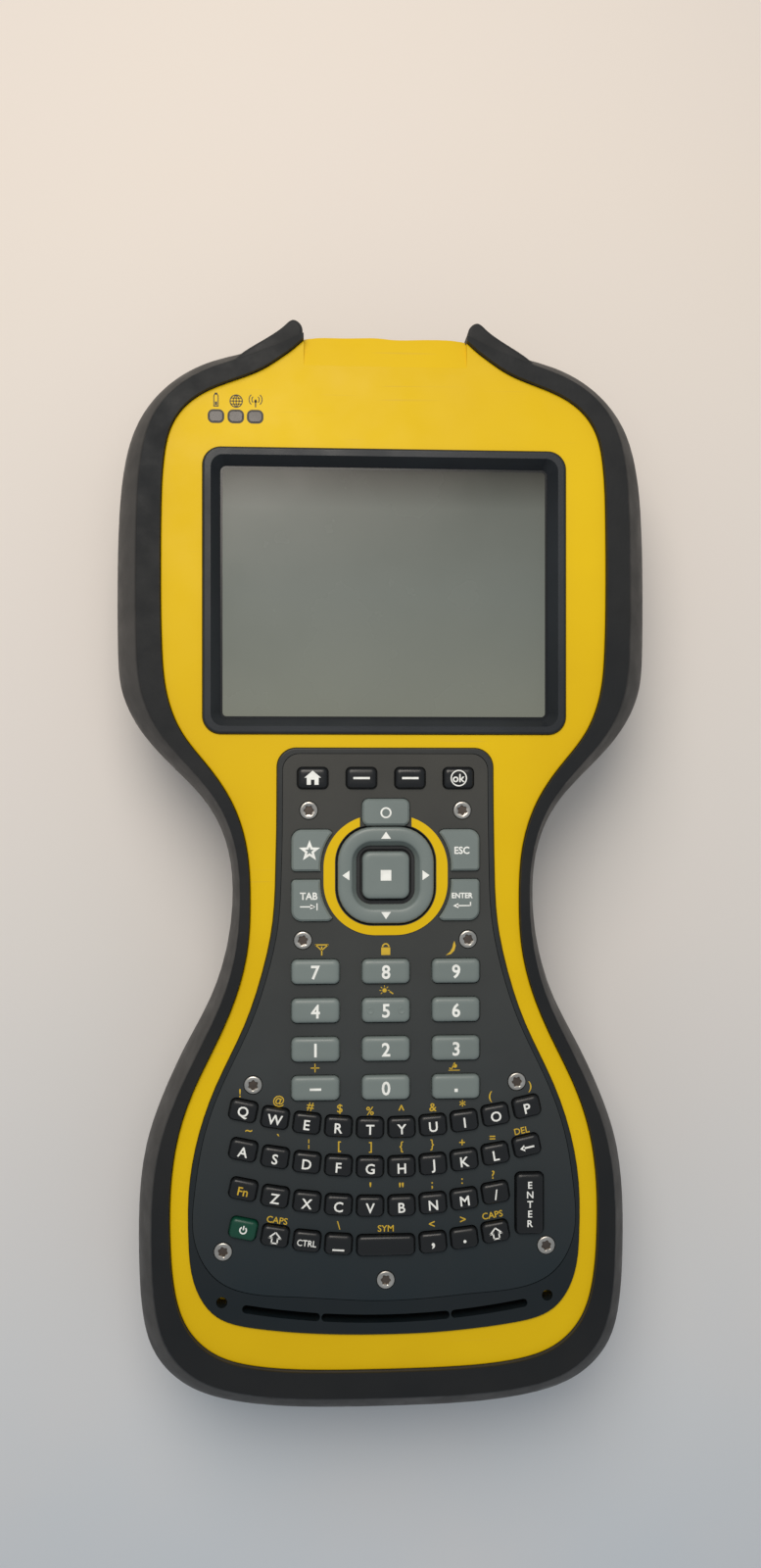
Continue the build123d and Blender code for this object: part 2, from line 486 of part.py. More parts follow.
def nav_trim_ring():
    ring = block(TRIM_W, TRIM_H, Z_KEYPLATE, Z_KEYPLATE + 0.3, y=NAV_Y, r=TRIM_ROUND)
    ring -= block(NAV_RING + 1.4, NAV_RING + 1.4, Z_KEYPLATE - 1, Z_KEYPLATE + 1, y=NAV_Y, r=NAV_ROUND + 0.7)
    return ring - block(CAMERA_KEY_W + 1.2, 12, Z_KEYPLATE - 1, Z_KEYPLATE + 1, y=CAMERA_KEY_Y + 0.6)


def nav_boot():
    """Silicone boot under the ring: it rocks left and right on the mat, and the ring rocks on it."""
    boot = block(NAV_RING - 1, NAV_RING - 1, Z_MAT + 0.65, Z_MAT + 1.2, y=NAV_Y, r=NAV_ROUND - 0.5)
    return boot - block(SELECT + 1.2, SELECT + 1.2, Z_MAT - 1, Z_MAT + 3, y=NAV_Y, r=2.6)


def nav_ring():
    z0, z1 = Z_MAT + 1.2 + 0.6, Z_KEYPLATE + 1.4
    ring = block(NAV_RING, NAV_RING, z0, z1, y=NAV_Y, r=NAV_ROUND)
    ring = fillet(ring.faces().sort_by(Axis.Z)[-1].edges(), 0.6)
    low = Pos(0, NAV_Y, z0 - 0.1) * RectangleRounded(NAV_HOLE - 2.2, NAV_HOLE - 2.2, 3.6)
    high = Pos(0, NAV_Y, z1 + 0.1) * RectangleRounded(NAV_HOLE + 0.3, NAV_HOLE + 0.3, 5.2)
    return ring - loft([low, high])


def select_key():
    z0 = Z_MAT + KEY_TRAVEL + 0.1
    cap = block(SELECT, SELECT, z0, Z_KEYPLATE + 1.2, y=NAV_Y, r=2.0)
    return fillet(cap.faces().sort_by(Axis.Z)[-1].edges(), 0.6)


def clipped_key(shape_at, rise):
    """A key of a shape of its own, with its flange, from a function of (z0, z1, grow)."""
    flange_top = Z_KEYPLATE - PLATE_T - 0.1
    caps = shape_at(flange_top - 0.5, Z_KEYPLATE + rise, 0)
    flanges = shape_at(flange_top - 0.5, flange_top, KEY_FLANGE)
    if not isinstance(caps, list):
        caps, flanges = [caps], [flanges]
    made = []
    for cap, flange in zip(caps, flanges):
        cap = chamfer(cap.faces().sort_by(Axis.Z)[-1].edges(), 0.5)
        made.append(cap + flange)
    return made


def all_keys():
    """Every key, by name; the letter keys of one row are one node of separate solids."""
    keys = {}
    for column, name in enumerate(SOFT_NAMES):
        keys[name] = Pos(soft_x(column), SOFT_Y, 0) * key(SOFT_W, SOFT_H, 1.2, 1.3)
    keys["camera_key"] = clipped_key(camera_key_shape, 1.2)[0]
    upper, lower = clipped_key(side_key_shape, 1.2)
    keys["escape_key"], keys["side_enter_key"] = upper, lower
    keys["star_key"], keys["tab_key"] = mirror(upper, about=Plane.YZ), mirror(lower, about=Plane.YZ)
    for row, names in enumerate(NUMBER_NAMES):
        for column, name in enumerate(names):
            keys[f"number_key_{name}"] = Pos(*number_place(row, column), 0) * key(NUMBER_W, NUMBER_H, 1.4, 1.4)
    letter = key(LETTER_W, LETTER_H, 1.3, 1.5, crown=0.8)
    for row in range(4):
        solids = []
        for column in LETTER_COLUMNS:
            if (row, column) in MISSING_LETTERS or (row, column) == (3, -4.5):
                continue
            x, y, turn = letter_place(row, column)
            solids.append(Pos(x, y, 0) * Rot(0, 0, turn) * letter)
        keys[f"letter_keys_row_{row + 1}"] = solids
    x, y, turn = letter_place(3, -4.5)
    keys["power_key"] = Pos(x, y, 0) * Rot(0, 0, turn) * letter
    keys["space_key"] = Pos(0, FIRST_ROW_Y - 3 * ROW_PITCH, 0) * key(SPACE_W, LETTER_H, 1.3, 1.5)
    x, y, w, h = TALL_ENTER
    keys["enter_key"] = Pos(x, y, 0) * key(w, h, 1.3, 1.5)
    return keys


# ---- fasteners and inside ----
def torx_screw(head_r, shank_r, z_under, head_t, z_tip, down=False):
    """Button-headed screw with a six-lobed socket; down means that its head faces -Z."""
    head = rod(head_r, 0, head_t)
    head = fillet(head.faces().sort_by(Axis.Z)[-1].edges(), head_t * 0.45)
    socket = rod(head_r * 0.34, head_t * 0.35, head_t + 1)
    for i in range(6):
        socket += rod(head_r * 0.13, head_t * 0.35, head_t + 1, head_r * 0.34 * math.cos(i * math.pi / 3),
                      head_r * 0.34 * math.sin(i * math.pi / 3))
    body = head - socket + rod(shank_r, -abs(z_under - z_tip), 0)
    return Pos(0, 0, z_under) * (Rot(180, 0, 0) * body if down else body)


def screws_at(places, screw):
    return [Pos(x, y, 0) * screw for x, y in places]


def main_board():
    z0 = GLASS_TOP - GLASS_T - LCD_T - 6.4
    z1 = z0 + 1.6
    board = prism(mixed(0, 8.0), z0, z1) - block(CAP_W + 8, 20, z0 - 1, z1 + 1, y=CAP_Y0 - 4.5 + 10)
    board -= [rod(BOSS_R + 0.6, z0 - 1, z1 + 1, x, y) for x, y in both_sides(BOSSES)]
    chips = [block(16, 16, z1, z1 + 1.8, -14, 66, r=0.5), block(11, 13, z1, z1 + 1.5, 12, 60, r=0.5),
             block(20, 14, z1, z1 + 2.5, 20, 86, r=0.5)]
    for chip in chips:
        board += chip
    return board


def battery_pack():
    z0 = DOOR_Z + DOOR_T + 0.4
    pack = block(BATTERY_W, BATTERY_L, z0, z0 + BATTERY_T, y=BATTERY_Y, r=3)
    return fillet(pack.faces().sort_by(Axis.Z)[0].edges(), 1.2)


def battery_door():
    """Door with its half of the hinge, finger grooves, and a pocket and window for each latch."""
    door = block(DOOR_W, DOOR_L, DOOR_Z, DOOR_Z + DOOR_T, y=BATTERY_Y, r=7)
    door = chamfer(door.faces().sort_by(Axis.Z)[0].edges(), 0.5)
    for side in (-1, 1):
        middle = side * (LATCH_X - LATCH_TRAVEL / 2)
        w, h = LATCH_W + LATCH_TRAVEL + 0.3, LATCH_H + 0.3
        door -= block(w, h, DOOR_Z + 0.8, DOOR_Z + DOOR_T + 1, middle, LATCH_Y, r=0.9)
        door -= block(w - 2 * LATCH_LIP, h - 2 * LATCH_LIP, DOOR_Z - 1, DOOR_Z + 1, middle, LATCH_Y, r=0.7)
    door += block(BATTERY_W + 1, BATTERY_L - 6, DOOR_Z + DOOR_T, DOOR_Z + DOOR_T + 0.3, y=BATTERY_Y - 3, r=2)
    for i in range(5):
        door -= block(40, 1.6, DOOR_Z - 1, DOOR_Z + 0.5, y=BATTERY_Y - 6 + 6 * (i - 2), r=0.7)
    barrel = rod_x(KNUCKLE_R, -20, 20, HINGE_Y, HINGE_Z)
    barrel += block(40, 3, DOOR_Z + 0.1, DOOR_Z + DOOR_T - 0.5, y=HINGE_Y + 1.5)
    return door + barrel + rod_x(PIN_R, -23.8, 23.8, HINGE_Y, HINGE_Z)


def latch(side):
    """Slider that the door's window holds in, with a ribbed grip on the outside."""
    x, w, h = side * LATCH_X, LATCH_W - 2 * LATCH_LIP, LATCH_H - 2 * LATCH_LIP
    slider = block(LATCH_W, LATCH_H, DOOR_Z + 0.85, DOOR_Z + DOOR_T, x, LATCH_Y, r=0.8)
    slider += block(w, h, DOOR_Z - 0.7, DOOR_Z + 0.85, x, LATCH_Y, r=0.6)
    for i in (-1, 0, 1):
        slider -= block(0.8, h + 1, DOOR_Z - 1, DOOR_Z - 0.3, x + 2.2 * i, LATCH_Y)
    return slider


def stylus():
    """Stylus with its tip towards -Y and its grip at the top end, where a finger pulls it out."""
    tip_y, end_y = STYLUS_TIP_Y, STYLUS_TIP_Y + STYLUS_L
    profile = [(0, 0), (0.9, 0), (1.0, 1.4), (STYLUS_R - 0.2, 12), (STYLUS_R - 0.2, STYLUS_L - 16),
               (STYLUS_R, STYLUS_L - 15), (STYLUS_R, STYLUS_L - 1), (STYLUS_R - 1, STYLUS_L), (0, STYLUS_L)]
    body = revolve(make_face(Polyline(*profile, close=True)), Axis.Y)
    body = Pos(STYLUS_X, tip_y, STYLUS_Z) * body
    for i in range(4):
        y = end_y - 4 - 2.4 * i
        body -= (rod_y(STYLUS_R + 1, y, y + 0.9, STYLUS_X, STYLUS_Z)
                 - rod_y(STYLUS_R - 0.35, y - 1, y + 2, STYLUS_X, STYLUS_Z))
    return body


def camera_windows():
    return [rod(r, Z_BACK + 0.1, Z_BACK + 1.1, x, y) for x, y, r in (CAMERA, FLASH)]


def strap_anchors():
    return [rod_x(BAR_R, x - BAR_L / 2, x + BAR_L / 2, y, STRAP_Z) for x, y in STRAP_BARS]


def speakers():
    z1 = Z_TRAY - TRAY_T - 0.2
    return [block(26, 11, z1 - 5, z1, x, SLOT_Y + 3.5, r=2) for x in (-22, 22)]


# ---- ports ----
def box_y(w, h, y0, y1, x, z, r=0.0):
    """Box along Y with rounded section corners."""
    sketch = RectangleRounded(w, h, r) if r else Rectangle(w, h)
    return Pos(x, y0, z) * Rot(-90, 0, 0) * extrude(sketch, y1 - y0)


def connector_plate():
    plate = box_y(PORT_W, PORT_Z1 - PORT_Z0, PLATE_Y0, PLATE_Y1, 0, PORT_Z, r=1.5)
    plate -= box_y(SERIAL_W + 0.4, SERIAL_H + 0.4, PLATE_Y0 - 1, PLATE_Y1 + 1, SERIAL_X, PORT_Z, r=2.4)
    plate -= rod_y(JACK_R + 0.1, PLATE_Y0 - 1, PLATE_Y1 + 1, JACK_X, PORT_Z)
    plate -= box_y(USB_W + 0.2, USB_H + 0.2, PLATE_Y0 - 1, PLATE_Y1 + 1, USB_X, PORT_Z)
    for side in (-1, 1):
        plate -= rod_y(POST_R + 0.1, PLATE_Y0 - 1, PLATE_Y1 + 1, SERIAL_X + side * JACKSCREW_PITCH / 2, PORT_Z)
    return plate


def io_connectors():
    """Serial shell with its pins and jackscrew posts, power jack and USB socket, each a separate solid."""
    serial = box_y(SERIAL_W, SERIAL_H, PLATE_Y0 - 1.6, SOCKET_Y, SERIAL_X, PORT_Z, r=2.2)
    serial -= box_y(SERIAL_W - 1.2, SERIAL_H - 1.2, PLATE_Y0 - 2, PLATE_Y1 + 2.5, SERIAL_X, PORT_Z, r=1.7)
    for row, count in ((1, 5), (-1, 4)):
        for i in range(count):
            x = SERIAL_X + 2.75 * (i - (count - 1) / 2)
            serial += rod_y(0.5, PLATE_Y0 - 0.6, PLATE_Y1 + 3, x, PORT_Z + 1.4 * row)
    posts = [rod_y(POST_R, PLATE_Y0 - 1.2, SOCKET_Y - 2.5, SERIAL_X + side * JACKSCREW_PITCH / 2, PORT_Z)
             - rod_y(POST_HOLE_R, PLATE_Y0 - 2, SOCKET_Y - 4.7, SERIAL_X + side * JACKSCREW_PITCH / 2, PORT_Z)
             for side in (-1, 1)]
    jack = rod_y(JACK_R, PLATE_Y0 - 0.4, SOCKET_Y, JACK_X, PORT_Z)
    jack -= rod_y(2.8, PLATE_Y0 - 1, SOCKET_Y - 1.5, JACK_X, PORT_Z)
    jack += rod_y(0.9, PLATE_Y0 + 1, SOCKET_Y - 0.5, JACK_X, PORT_Z)
    usb = box_y(USB_W, USB_H, PLATE_Y0 + 0.2, SOCKET_Y, USB_X, PORT_Z)
    usb -= box_y(USB_W - 0.9, USB_H - 0.9, PLATE_Y0 - 1, SOCKET_Y - 1.5, USB_X, PORT_Z)
    usb += box_y(USB_W - 2.4, 1.8, PLATE_Y0 + 1, SOCKET_Y - 1, USB_X, PORT_Z + 1.0)
    return [serial, *posts, jack, usb]


def port_flap():
    flap = block(FLAP_W, FLAP_T, FLAP_HINGE_Z, FLAP_HINGE_Z + FLAP_H, USB_X, FLAP_HINGE_Y - 0.2, r=0.6)
    flap += rod_x(0.9, USB_X - FLAP_W / 2, USB_X + FLAP_W / 2, FLAP_HINGE_Y, FLAP_HINGE_Z)
    z1 = FLAP_HINGE_Z + FLAP_H - 0.6
    return flap + block(6, 1.2, z1 - 1.8, z1, USB_X, FLAP_HINGE_Y - 1.4, r=0.4)


def build():
    place("bumper", bumper())
    place("front_housing", front_housing())
    place("rear_housing", rear_housing())
    place("antenna_cap", antenna_cap())
    place("case_seal", case_seal())
    place("display_bezel", display_bezel())
    place("touch_panel", touch_panel())
    place("display_gasket", display_gasket())
    place("lcd_module", lcd_module())
    place("keypad_frame", keypad_frame())
    place("keypad_plate", keypad_plate())
    place("keypad_mat", keypad_mat())
    place("keypad_board", keypad_board())
    place("nav_trim_ring", nav_trim_ring())
    place("nav_boot", nav_boot())
    place("nav_ring", nav_ring())
    place("select_key", select_key())
    for name, shape in all_keys().items():
        place(name, shape)
    keypad_screw = torx_screw(SCREW_HEAD_R, SCREW_R, Z_KEYPLATE - 0.5, 0.9, Z_TRAY - TRAY_T - 0.8)
    place("keypad_screws", screws_at(SCREWS, keypad_screw))
    case_screw = torx_screw(CASE_HEAD_R, CASE_SCREW_R, Z_BACK + 1.75, 1.7, CASE_SCREW_TIP, down=True)
    place("case_screws", screws_at(both_sides(BOSSES), case_screw))
    place("indicator_lenses",
          [block(LED_W, LED_H, Z_FACE - 2.4, Z_FACE + 0.1, x, y, r=0.9) for x, y in LED_PLACES])
    place("main_board", main_board())
    place("speakers", speakers())
    place("battery_pack", battery_pack())
    place("battery_door", battery_door())
    place("left_latch", latch(-1))
    place("right_latch", latch(1))
    place("stylus", stylus())
    place("camera_windows", camera_windows())
    place("strap_anchors", strap_anchors())
    place("connector_plate", connector_plate())
    place("io_connectors", io_connectors())
    place("port_flap", port_flap())


build()
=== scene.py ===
"""Looks of the data collector: materials, key caps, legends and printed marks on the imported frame."""
import math

import bpy
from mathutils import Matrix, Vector

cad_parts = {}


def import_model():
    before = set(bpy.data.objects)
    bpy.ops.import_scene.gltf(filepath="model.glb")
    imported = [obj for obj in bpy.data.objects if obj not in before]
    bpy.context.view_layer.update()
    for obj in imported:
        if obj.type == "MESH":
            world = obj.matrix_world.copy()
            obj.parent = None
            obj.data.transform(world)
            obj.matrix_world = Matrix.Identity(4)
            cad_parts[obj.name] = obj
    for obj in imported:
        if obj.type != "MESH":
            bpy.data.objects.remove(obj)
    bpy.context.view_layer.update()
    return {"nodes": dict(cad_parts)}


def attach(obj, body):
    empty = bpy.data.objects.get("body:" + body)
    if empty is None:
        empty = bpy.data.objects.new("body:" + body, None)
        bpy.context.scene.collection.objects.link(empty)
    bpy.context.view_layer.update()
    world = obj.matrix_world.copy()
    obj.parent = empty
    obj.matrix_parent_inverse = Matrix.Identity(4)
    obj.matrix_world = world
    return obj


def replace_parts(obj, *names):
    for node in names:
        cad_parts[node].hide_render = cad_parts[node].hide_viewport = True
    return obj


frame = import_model()
NODES = frame["nodes"]
MM = 0.001
SHIFT = 3.7                     # from the middle of the yellow face to the row's origin, along Y
Z_FACE, Z_PLATE = 45.5, 46.2
NAV_Y = -3.8


# ---- materials ----
def linear(r, g, b):
    """An sRGB colour of 0 to 255 as linear values."""
    return tuple(c / 12.92 if c <= 0.04045 else ((c + 0.055) / 1.055) ** 2.4
                 for c in (r / 255, g / 255, b / 255))


class Surface:
    """A node material with small helpers for noise, mixing and bump in object space."""

    def __init__(self, name, rough=0.5, **sockets):
        self.mat = bpy.data.materials.new(name)
        self.mat.use_nodes = True
        self.tree = self.mat.node_tree
        self.shader = self.tree.nodes["Principled BSDF"]
        self.shader.inputs["Roughness"].default_value = rough
        for key, value in sockets.items():
            self.shader.inputs[key.replace("_", " ")].default_value = value
        self.space = self.tree.nodes.new("ShaderNodeTexCoord").outputs["Object"]

    def node(self, kind, **values):
        made = self.tree.nodes.new(kind)
        for key, value in values.items():
            if key in made.inputs:
                made.inputs[key].default_value = value
            else:
                setattr(made, key, value)
        return made

    def link(self, a, b):
        self.tree.links.new(a, b)

    def stretched(self, scale, turn=0.0):
        mapping = self.node("ShaderNodeMapping")
        mapping.inputs["Scale"].default_value = scale
        mapping.inputs["Rotation"].default_value = (0, 0, turn)
        self.link(self.space, mapping.inputs["Vector"])
        return mapping.outputs["Vector"]

    def noise(self, scale, detail=3.0, vector=None, rough=0.5):
        made = self.node("ShaderNodeTexNoise", Scale=scale, Detail=detail, Roughness=rough)
        self.link(vector or self.space, made.inputs["Vector"])
        return made.outputs["Fac"]

    def ramp(self, value, stops):
        made = self.node("ShaderNodeValToRGB")
        band = made.color_ramp
        while len(band.elements) < len(stops):
            band.elements.new(0.5)
        for element, (place, colour) in zip(band.elements, stops):
            element.position = place
            element.color = (*colour, 1) if len(colour) == 3 else colour
        self.link(value, made.inputs["Fac"])
        return made.outputs["Color"]

    def grey(self, value, low, high, a=0.0, b=1.0):
        made = self.node("ShaderNodeMapRange")
        for key, number in (("From Min", a), ("From Max", b), ("To Min", low), ("To Max", high)):
            made.inputs[key].default_value = number
        self.link(value, made.inputs["Value"])
        return made.outputs["Result"]

    def height(self):
        made = self.node("ShaderNodeSeparateXYZ")
        self.link(self.space, made.inputs["Vector"])
        return made.outputs

    def mix(self, fac, a, b, mode="MIX"):
        made = self.node("ShaderNodeMix", data_type="RGBA", blend_type=mode)
        slots = [s for s in made.inputs if s.type == "RGBA"]
        for socket, value in zip([made.inputs["Factor"], *slots], (fac, a, b)):
            if isinstance(value, (int, float)):
                socket.default_value = value
            elif isinstance(value, tuple):
                socket.default_value = (*value, 1)
            else:
                self.link(value, socket)
        return [s for s in made.outputs if s.type == "RGBA"][0]

    def colour(self, value):
        socket = self.shader.inputs["Base Color"]
        if isinstance(value, tuple):
            socket.default_value = (*value, 1)
        else:
            self.link(value, socket)
        return self

    def roughness(self, value):
        self.link(value, self.shader.inputs["Roughness"])
        return self

    def bump(self, value, strength, distance):
        made = self.node("ShaderNodeBump", Strength=strength, Distance=distance)
        self.link(value, made.inputs["Height"])
        previous = self.shader.inputs["Normal"]
        if previous.is_linked:
            self.link(previous.links[0].from_socket, made.inputs["Normal"])
        self.link(made.outputs["Normal"], previous)
        return self


def moulded(name, colour, rough, vary=0.12, grain=1400, depth=0.00006, strength=0.35, dust=0.0, **sockets):
    """Moulded plastic or rubber: fine grain, slow colour variation, uneven sheen and a little dust."""
    s = Surface(name, rough, **sockets)
    slow = s.noise(38, 4)
    dark, light = (tuple(c * (1 + sign * vary) for c in colour) for sign in (-1, 1))
    base = s.ramp(slow, [(0.3, dark), (0.7, light)])
    if dust:
        specks = s.ramp(s.noise(900, 2), [(0.66, (0, 0, 0)), (0.78, (1, 1, 1))])
        base = s.mix(s.grey(specks, 0, dust), base, linear(150, 145, 135))
    s.colour(base)
    s.roughness(s.grey(s.noise(120, 3), rough - 0.07, rough + 0.09, 0.3, 0.7))
    return s.bump(s.noise(grain, 2), strength, depth)


def metal(name, colour, rough, streak=(30, 900, 30)):
    s = Surface(name, rough, Metallic=1.0)
    lines = s.noise(1, 3, s.stretched(streak))
    s.colour(s.ramp(s.noise(160, 3), [(0.3, tuple(c * 0.72 for c in colour)), (0.7, colour)]))
    s.roughness(s.grey(lines, rough - 0.08, rough + 0.12, 0.3, 0.7))
    return s.bump(lines, 0.25, 0.00004)


def yellow_shell():
    """Painted-looking yellow plastic with faint scuffs and hairline scratches."""
    s = Surface("yellow_plastic", 0.42, Specular_IOR_Level=0.22)
    base = s.ramp(s.noise(16, 4), [(0.32, linear(212, 172, 2)), (0.7, linear(222, 184, 4))])
    hair = None
    for turn, scale in ((0.5, (26, 900, 26)), (-0.35, (18, 1100, 18)), (1.35, (20, 800, 20))):
        line = s.ramp(s.noise(1, 1, s.stretched(scale, turn)), [(0.735, (0, 0, 0)), (0.76, (1, 1, 1))])
        hair = line if hair is None else s.mix(1.0, hair, line, "ADD")
    patch = s.ramp(s.noise(30, 2), [(0.5, (0, 0, 0)), (0.66, (1, 1, 1))])
    hair = s.mix(1.0, hair, patch, "MULTIPLY")
    s.colour(s.mix(s.grey(hair, 0, 0.3), base, linear(196, 160, 60)))
    s.roughness(s.grey(s.noise(90, 4), 0.36, 0.52, 0.3, 0.7))
    s.bump(s.noise(700, 2), 0.12, 0.00005)
    return s.bump(hair, 0.2, 0.00002)


def bumper_rubber():
    """Rubber with fine moulded grain and a painted paler sheen on its outer slope: painted light, mottled by noise."""
    s = Surface("bumper_rubber", 0.6, Specular_IOR_Level=0.25)
    z = s.height()["Z"]
    # The slope below the front band is painted paler: painted light on the slope that faces the lamps, mottled by
    # noise.
    low = s.grey(z, 1, 0, 0.0459, 0.0466)
    slope_sheen = s.mix(1.0, s.ramp(s.noise(70, 5), [(0.3, (0.68, 0.68, 0.68)), (0.7, (1, 1, 1))]), low, "MULTIPLY")
    base = s.ramp(s.noise(30, 4), [(0.3, linear(24, 26, 28)), (0.7, linear(34, 34, 34))])
    s.colour(s.mix(s.grey(slope_sheen, 0, 0.6), base, linear(88, 85, 82)))
    s.roughness(s.grey(s.noise(160, 3), 0.48, 0.66, 0.3, 0.7))
    s.bump(s.noise(1100, 3), 0.4, 0.00008)
    return s.bump(s.noise(120, 3), 0.15, 0.0003)


def keypad_plastic():
    """Dark satin plate with painted shade and light: darker and bluer towards the bottom end, lighter and warmer
    towards the screen.
    """
    s = Surface("keypad_plastic", 0.5, Specular_IOR_Level=0.3)
    y = s.grey(s.height()["Y"], 0, 1, -0.11, 0.03)
    base = s.ramp(y, [(0.0, linear(26, 36, 41)), (0.45, linear(55, 58, 58)), (1.0, linear(63, 62, 58))])
    s.colour(s.mix(s.grey(s.noise(60, 4), 0, 0.25, 0.35, 0.7), base, linear(44, 44, 44)))
    s.roughness(s.grey(s.noise(140, 3), 0.42, 0.58, 0.3, 0.7))
    return s.bump(s.noise(1700, 2), 0.3, 0.00005)


def frame_plastic():
    """Glossier frame round the plate, with painted shade and light: warm grey beside the screen and blue-black towards
    the bottom end.
    """
    s = Surface("keypad_frame_plastic", 0.4, Specular_IOR_Level=0.35)
    y = s.grey(s.height()["Y"], 0, 1, -0.11, 0.03)
    base = s.ramp(y, [(0.0, linear(18, 26, 30)), (0.4, linear(34, 38, 40)), (1.0, linear(48, 49, 48))])
    s.colour(s.mix(s.grey(s.noise(60, 4), 0, 0.25, 0.35, 0.7), base, linear(30, 31, 32)))
    s.roughness(s.grey(s.noise(140, 3), 0.34, 0.5, 0.3, 0.7))
    return s.bump(s.noise(1500, 2), 0.25, 0.00005)


def screen_glass():
    """Screen at rest: grey-green with painted shade, darkening slowly towards the top and strongly under the top edge
    of its frame, with a soft smudge or two.
    """
    s = Surface("screen_glass", 0.2, Specular_IOR_Level=0.3)
    y = s.grey(s.height()["Y"], 0, 1, 0.040, 0.1045)
    base = s.ramp(y, [(0.0, linear(118, 121, 111)), (0.5, linear(106, 111, 105)), (0.84, linear(98, 101, 95)),
                      (0.94, linear(72, 72, 66)), (1.0, linear(48, 46, 40))])
    s.colour(s.mix(s.grey(s.noise(22, 4), 0, 0.22, 0.4, 0.7), base, linear(104, 108, 104)))
    return s.roughness(s.grey(s.noise(30, 5), 0.14, 0.34, 0.3, 0.7))


def ink(name, colour, rough=0.45):
    s = Surface(name, rough)
    s.colour(s.ramp(s.noise(500, 3), [(0.3, tuple(c * 0.86 for c in colour)), (0.6, colour)]))
    return s


MATERIALS = {
    "yellow": yellow_shell(),
    "bumper": bumper_rubber(),
    "plate": keypad_plastic(),
    "glass": screen_glass(),
    "shell": moulded("dark_shell", linear(48, 48, 49), 0.58, dust=0.12, grain=900, strength=0.5,
                     Specular_IOR_Level=0.3),
    "bezel": moulded("bezel_plastic", linear(36, 39, 43), 0.4, vary=0.2, Specular_IOR_Level=0.35),
    "frame": frame_plastic(),
    "grey_key": moulded("grey_key_rubber", linear(112, 121, 118), 0.36, vary=0.07, grain=1500, strength=0.15),
    "black_key": moulded("black_key_rubber", linear(17, 18, 19), 0.3, vary=0.25, grain=1500, strength=0.1),
    "green_key": moulded("green_key_rubber", linear(4, 62, 44), 0.32, vary=0.1, grain=1500, strength=0.1),
    "silicone": moulded("silicone", linear(40, 41, 42), 0.55),
    "seal": moulded("seal_rubber", linear(24, 24, 24), 0.7),
    "board": moulded("board_lacquer", linear(20, 84, 50), 0.4, grain=500),
    "steel": metal("steel", (0.66, 0.62, 0.56), 0.3),
    # Dark steel for the socket floors: painted shade in the screw recesses.
    "socket": metal("socket_shade_steel", (0.16, 0.13, 0.11), 0.5),
    "lens": moulded("lens_plastic", linear(74, 68, 64), 0.3, vary=0.1, strength=0.1),
    "battery": moulded("battery_wrap", linear(38, 40, 44), 0.5),
    "window": moulded("window_glass", linear(12, 13, 16), 0.08, vary=0.05, strength=0.02),
    "white_ink": ink("white_ink", linear(238, 238, 232)),
    "yellow_ink": ink("yellow_ink", linear(206, 170, 44)),
    "dark_ink": ink("dark_ink", linear(30, 25, 12)),
    # Near-black for the thin ring round the screen: painted shadow in the gap between glass and frame.
    "gap_shadow_black": ink("gap_shadow_black", linear(9, 9, 10), 0.25),
    "gold": metal("pin_metal", (0.80, 0.62, 0.30), 0.3),
}
FINISH = {
    "yellow": ["front_housing", "nav_trim_ring"], "bumper": ["bumper"], "plate": ["keypad_plate"],
    "glass": ["touch_panel"],
    "shell": ["rear_housing", "antenna_cap", "battery_door", "connector_plate", "left_latch", "right_latch"],
    "bezel": ["display_bezel"], "frame": ["keypad_frame"],
    "silicone": ["keypad_mat", "nav_boot"],
    "seal": ["case_seal", "display_gasket", "port_flap", "speakers"],
    "board": ["keypad_board", "main_board"],
    "steel": ["case_screws", "strap_anchors", "io_connectors"],
    "lens": ["indicator_lenses"],
    "battery": ["battery_pack", "lcd_module"],
    "window": ["camera_windows"],
    "green_key": ["power_key"],
}


def paint(obj, key):
    obj.data.materials.clear()
    obj.data.materials.append(MATERIALS[key].mat)


for key, names in FINISH.items():
    for name in names:
        paint(NODES[name], key)


# ---- mesh helpers, in millimetres about the middle of the yellow face ----
class Soup:
    """Collects polygons for one piece."""

    def __init__(self):
        self.points, self.faces = [], []

    def add(self, points, faces, x=0.0, y=0.0, turn=0.0):
        c, s = math.cos(math.radians(turn)), math.sin(math.radians(turn))
        start = len(self.points)
        self.points += [(x + c * px - s * py, y + s * px + c * py, pz) for px, py, pz in points]
        self.faces += [[start + i for i in face] for face in faces]

    def loft(self, rings, x=0.0, y=0.0, turn=0.0, top=True, bottom=True):
        """Rings of the same number of points, from the bottom up, each counter-clockwise."""
        n = len(rings[0])
        faces = []
        for k in range(len(rings) - 1):
            for i in range(n):
                j = (i + 1) % n
                faces.append([k * n + i, k * n + j, (k + 1) * n + j, (k + 1) * n + i])
        if top:
            faces.append([(len(rings) - 1) * n + i for i in range(n)])
        if bottom:
            faces.append([n - 1 - i for i in range(n)])
        self.add([p for ring in rings for p in ring], faces, x, y, turn)

    def flat(self, outline, z, x=0.0, y=0.0, turn=0.0, thick=0.02):
        """A printed mark: a thin plate with the outline, which may be concave."""
        area = sum(a[0] * b[1] - b[0] * a[1] for a, b in zip(outline, outline[1:] + outline[:1]))
        outline = outline if area > 0 else outline[::-1]
        low = [(px, py, z) for px, py in outline]
        high = [(px, py, z + thick) for px, py in outline]
        self.loft([low, high], x, y, turn)

    def make(self, name, key, body, smooth=40):
        mesh = bpy.data.meshes.new(name)
        points = [(px * MM, (py + SHIFT) * MM, pz * MM) for px, py, pz in self.points]
        mesh.from_pydata(points, [], self.faces)
        obj = bpy.data.objects.new(name, mesh)
        bpy.context.scene.collection.objects.link(obj)
        mesh.materials.append(MATERIALS[key].mat)
        if smooth:
            mesh.polygons.foreach_set("use_smooth", [True] * len(mesh.polygons))
            mesh.set_sharp_from_angle(angle=math.radians(smooth))
        mesh.update()
        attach(obj, body)
        return obj


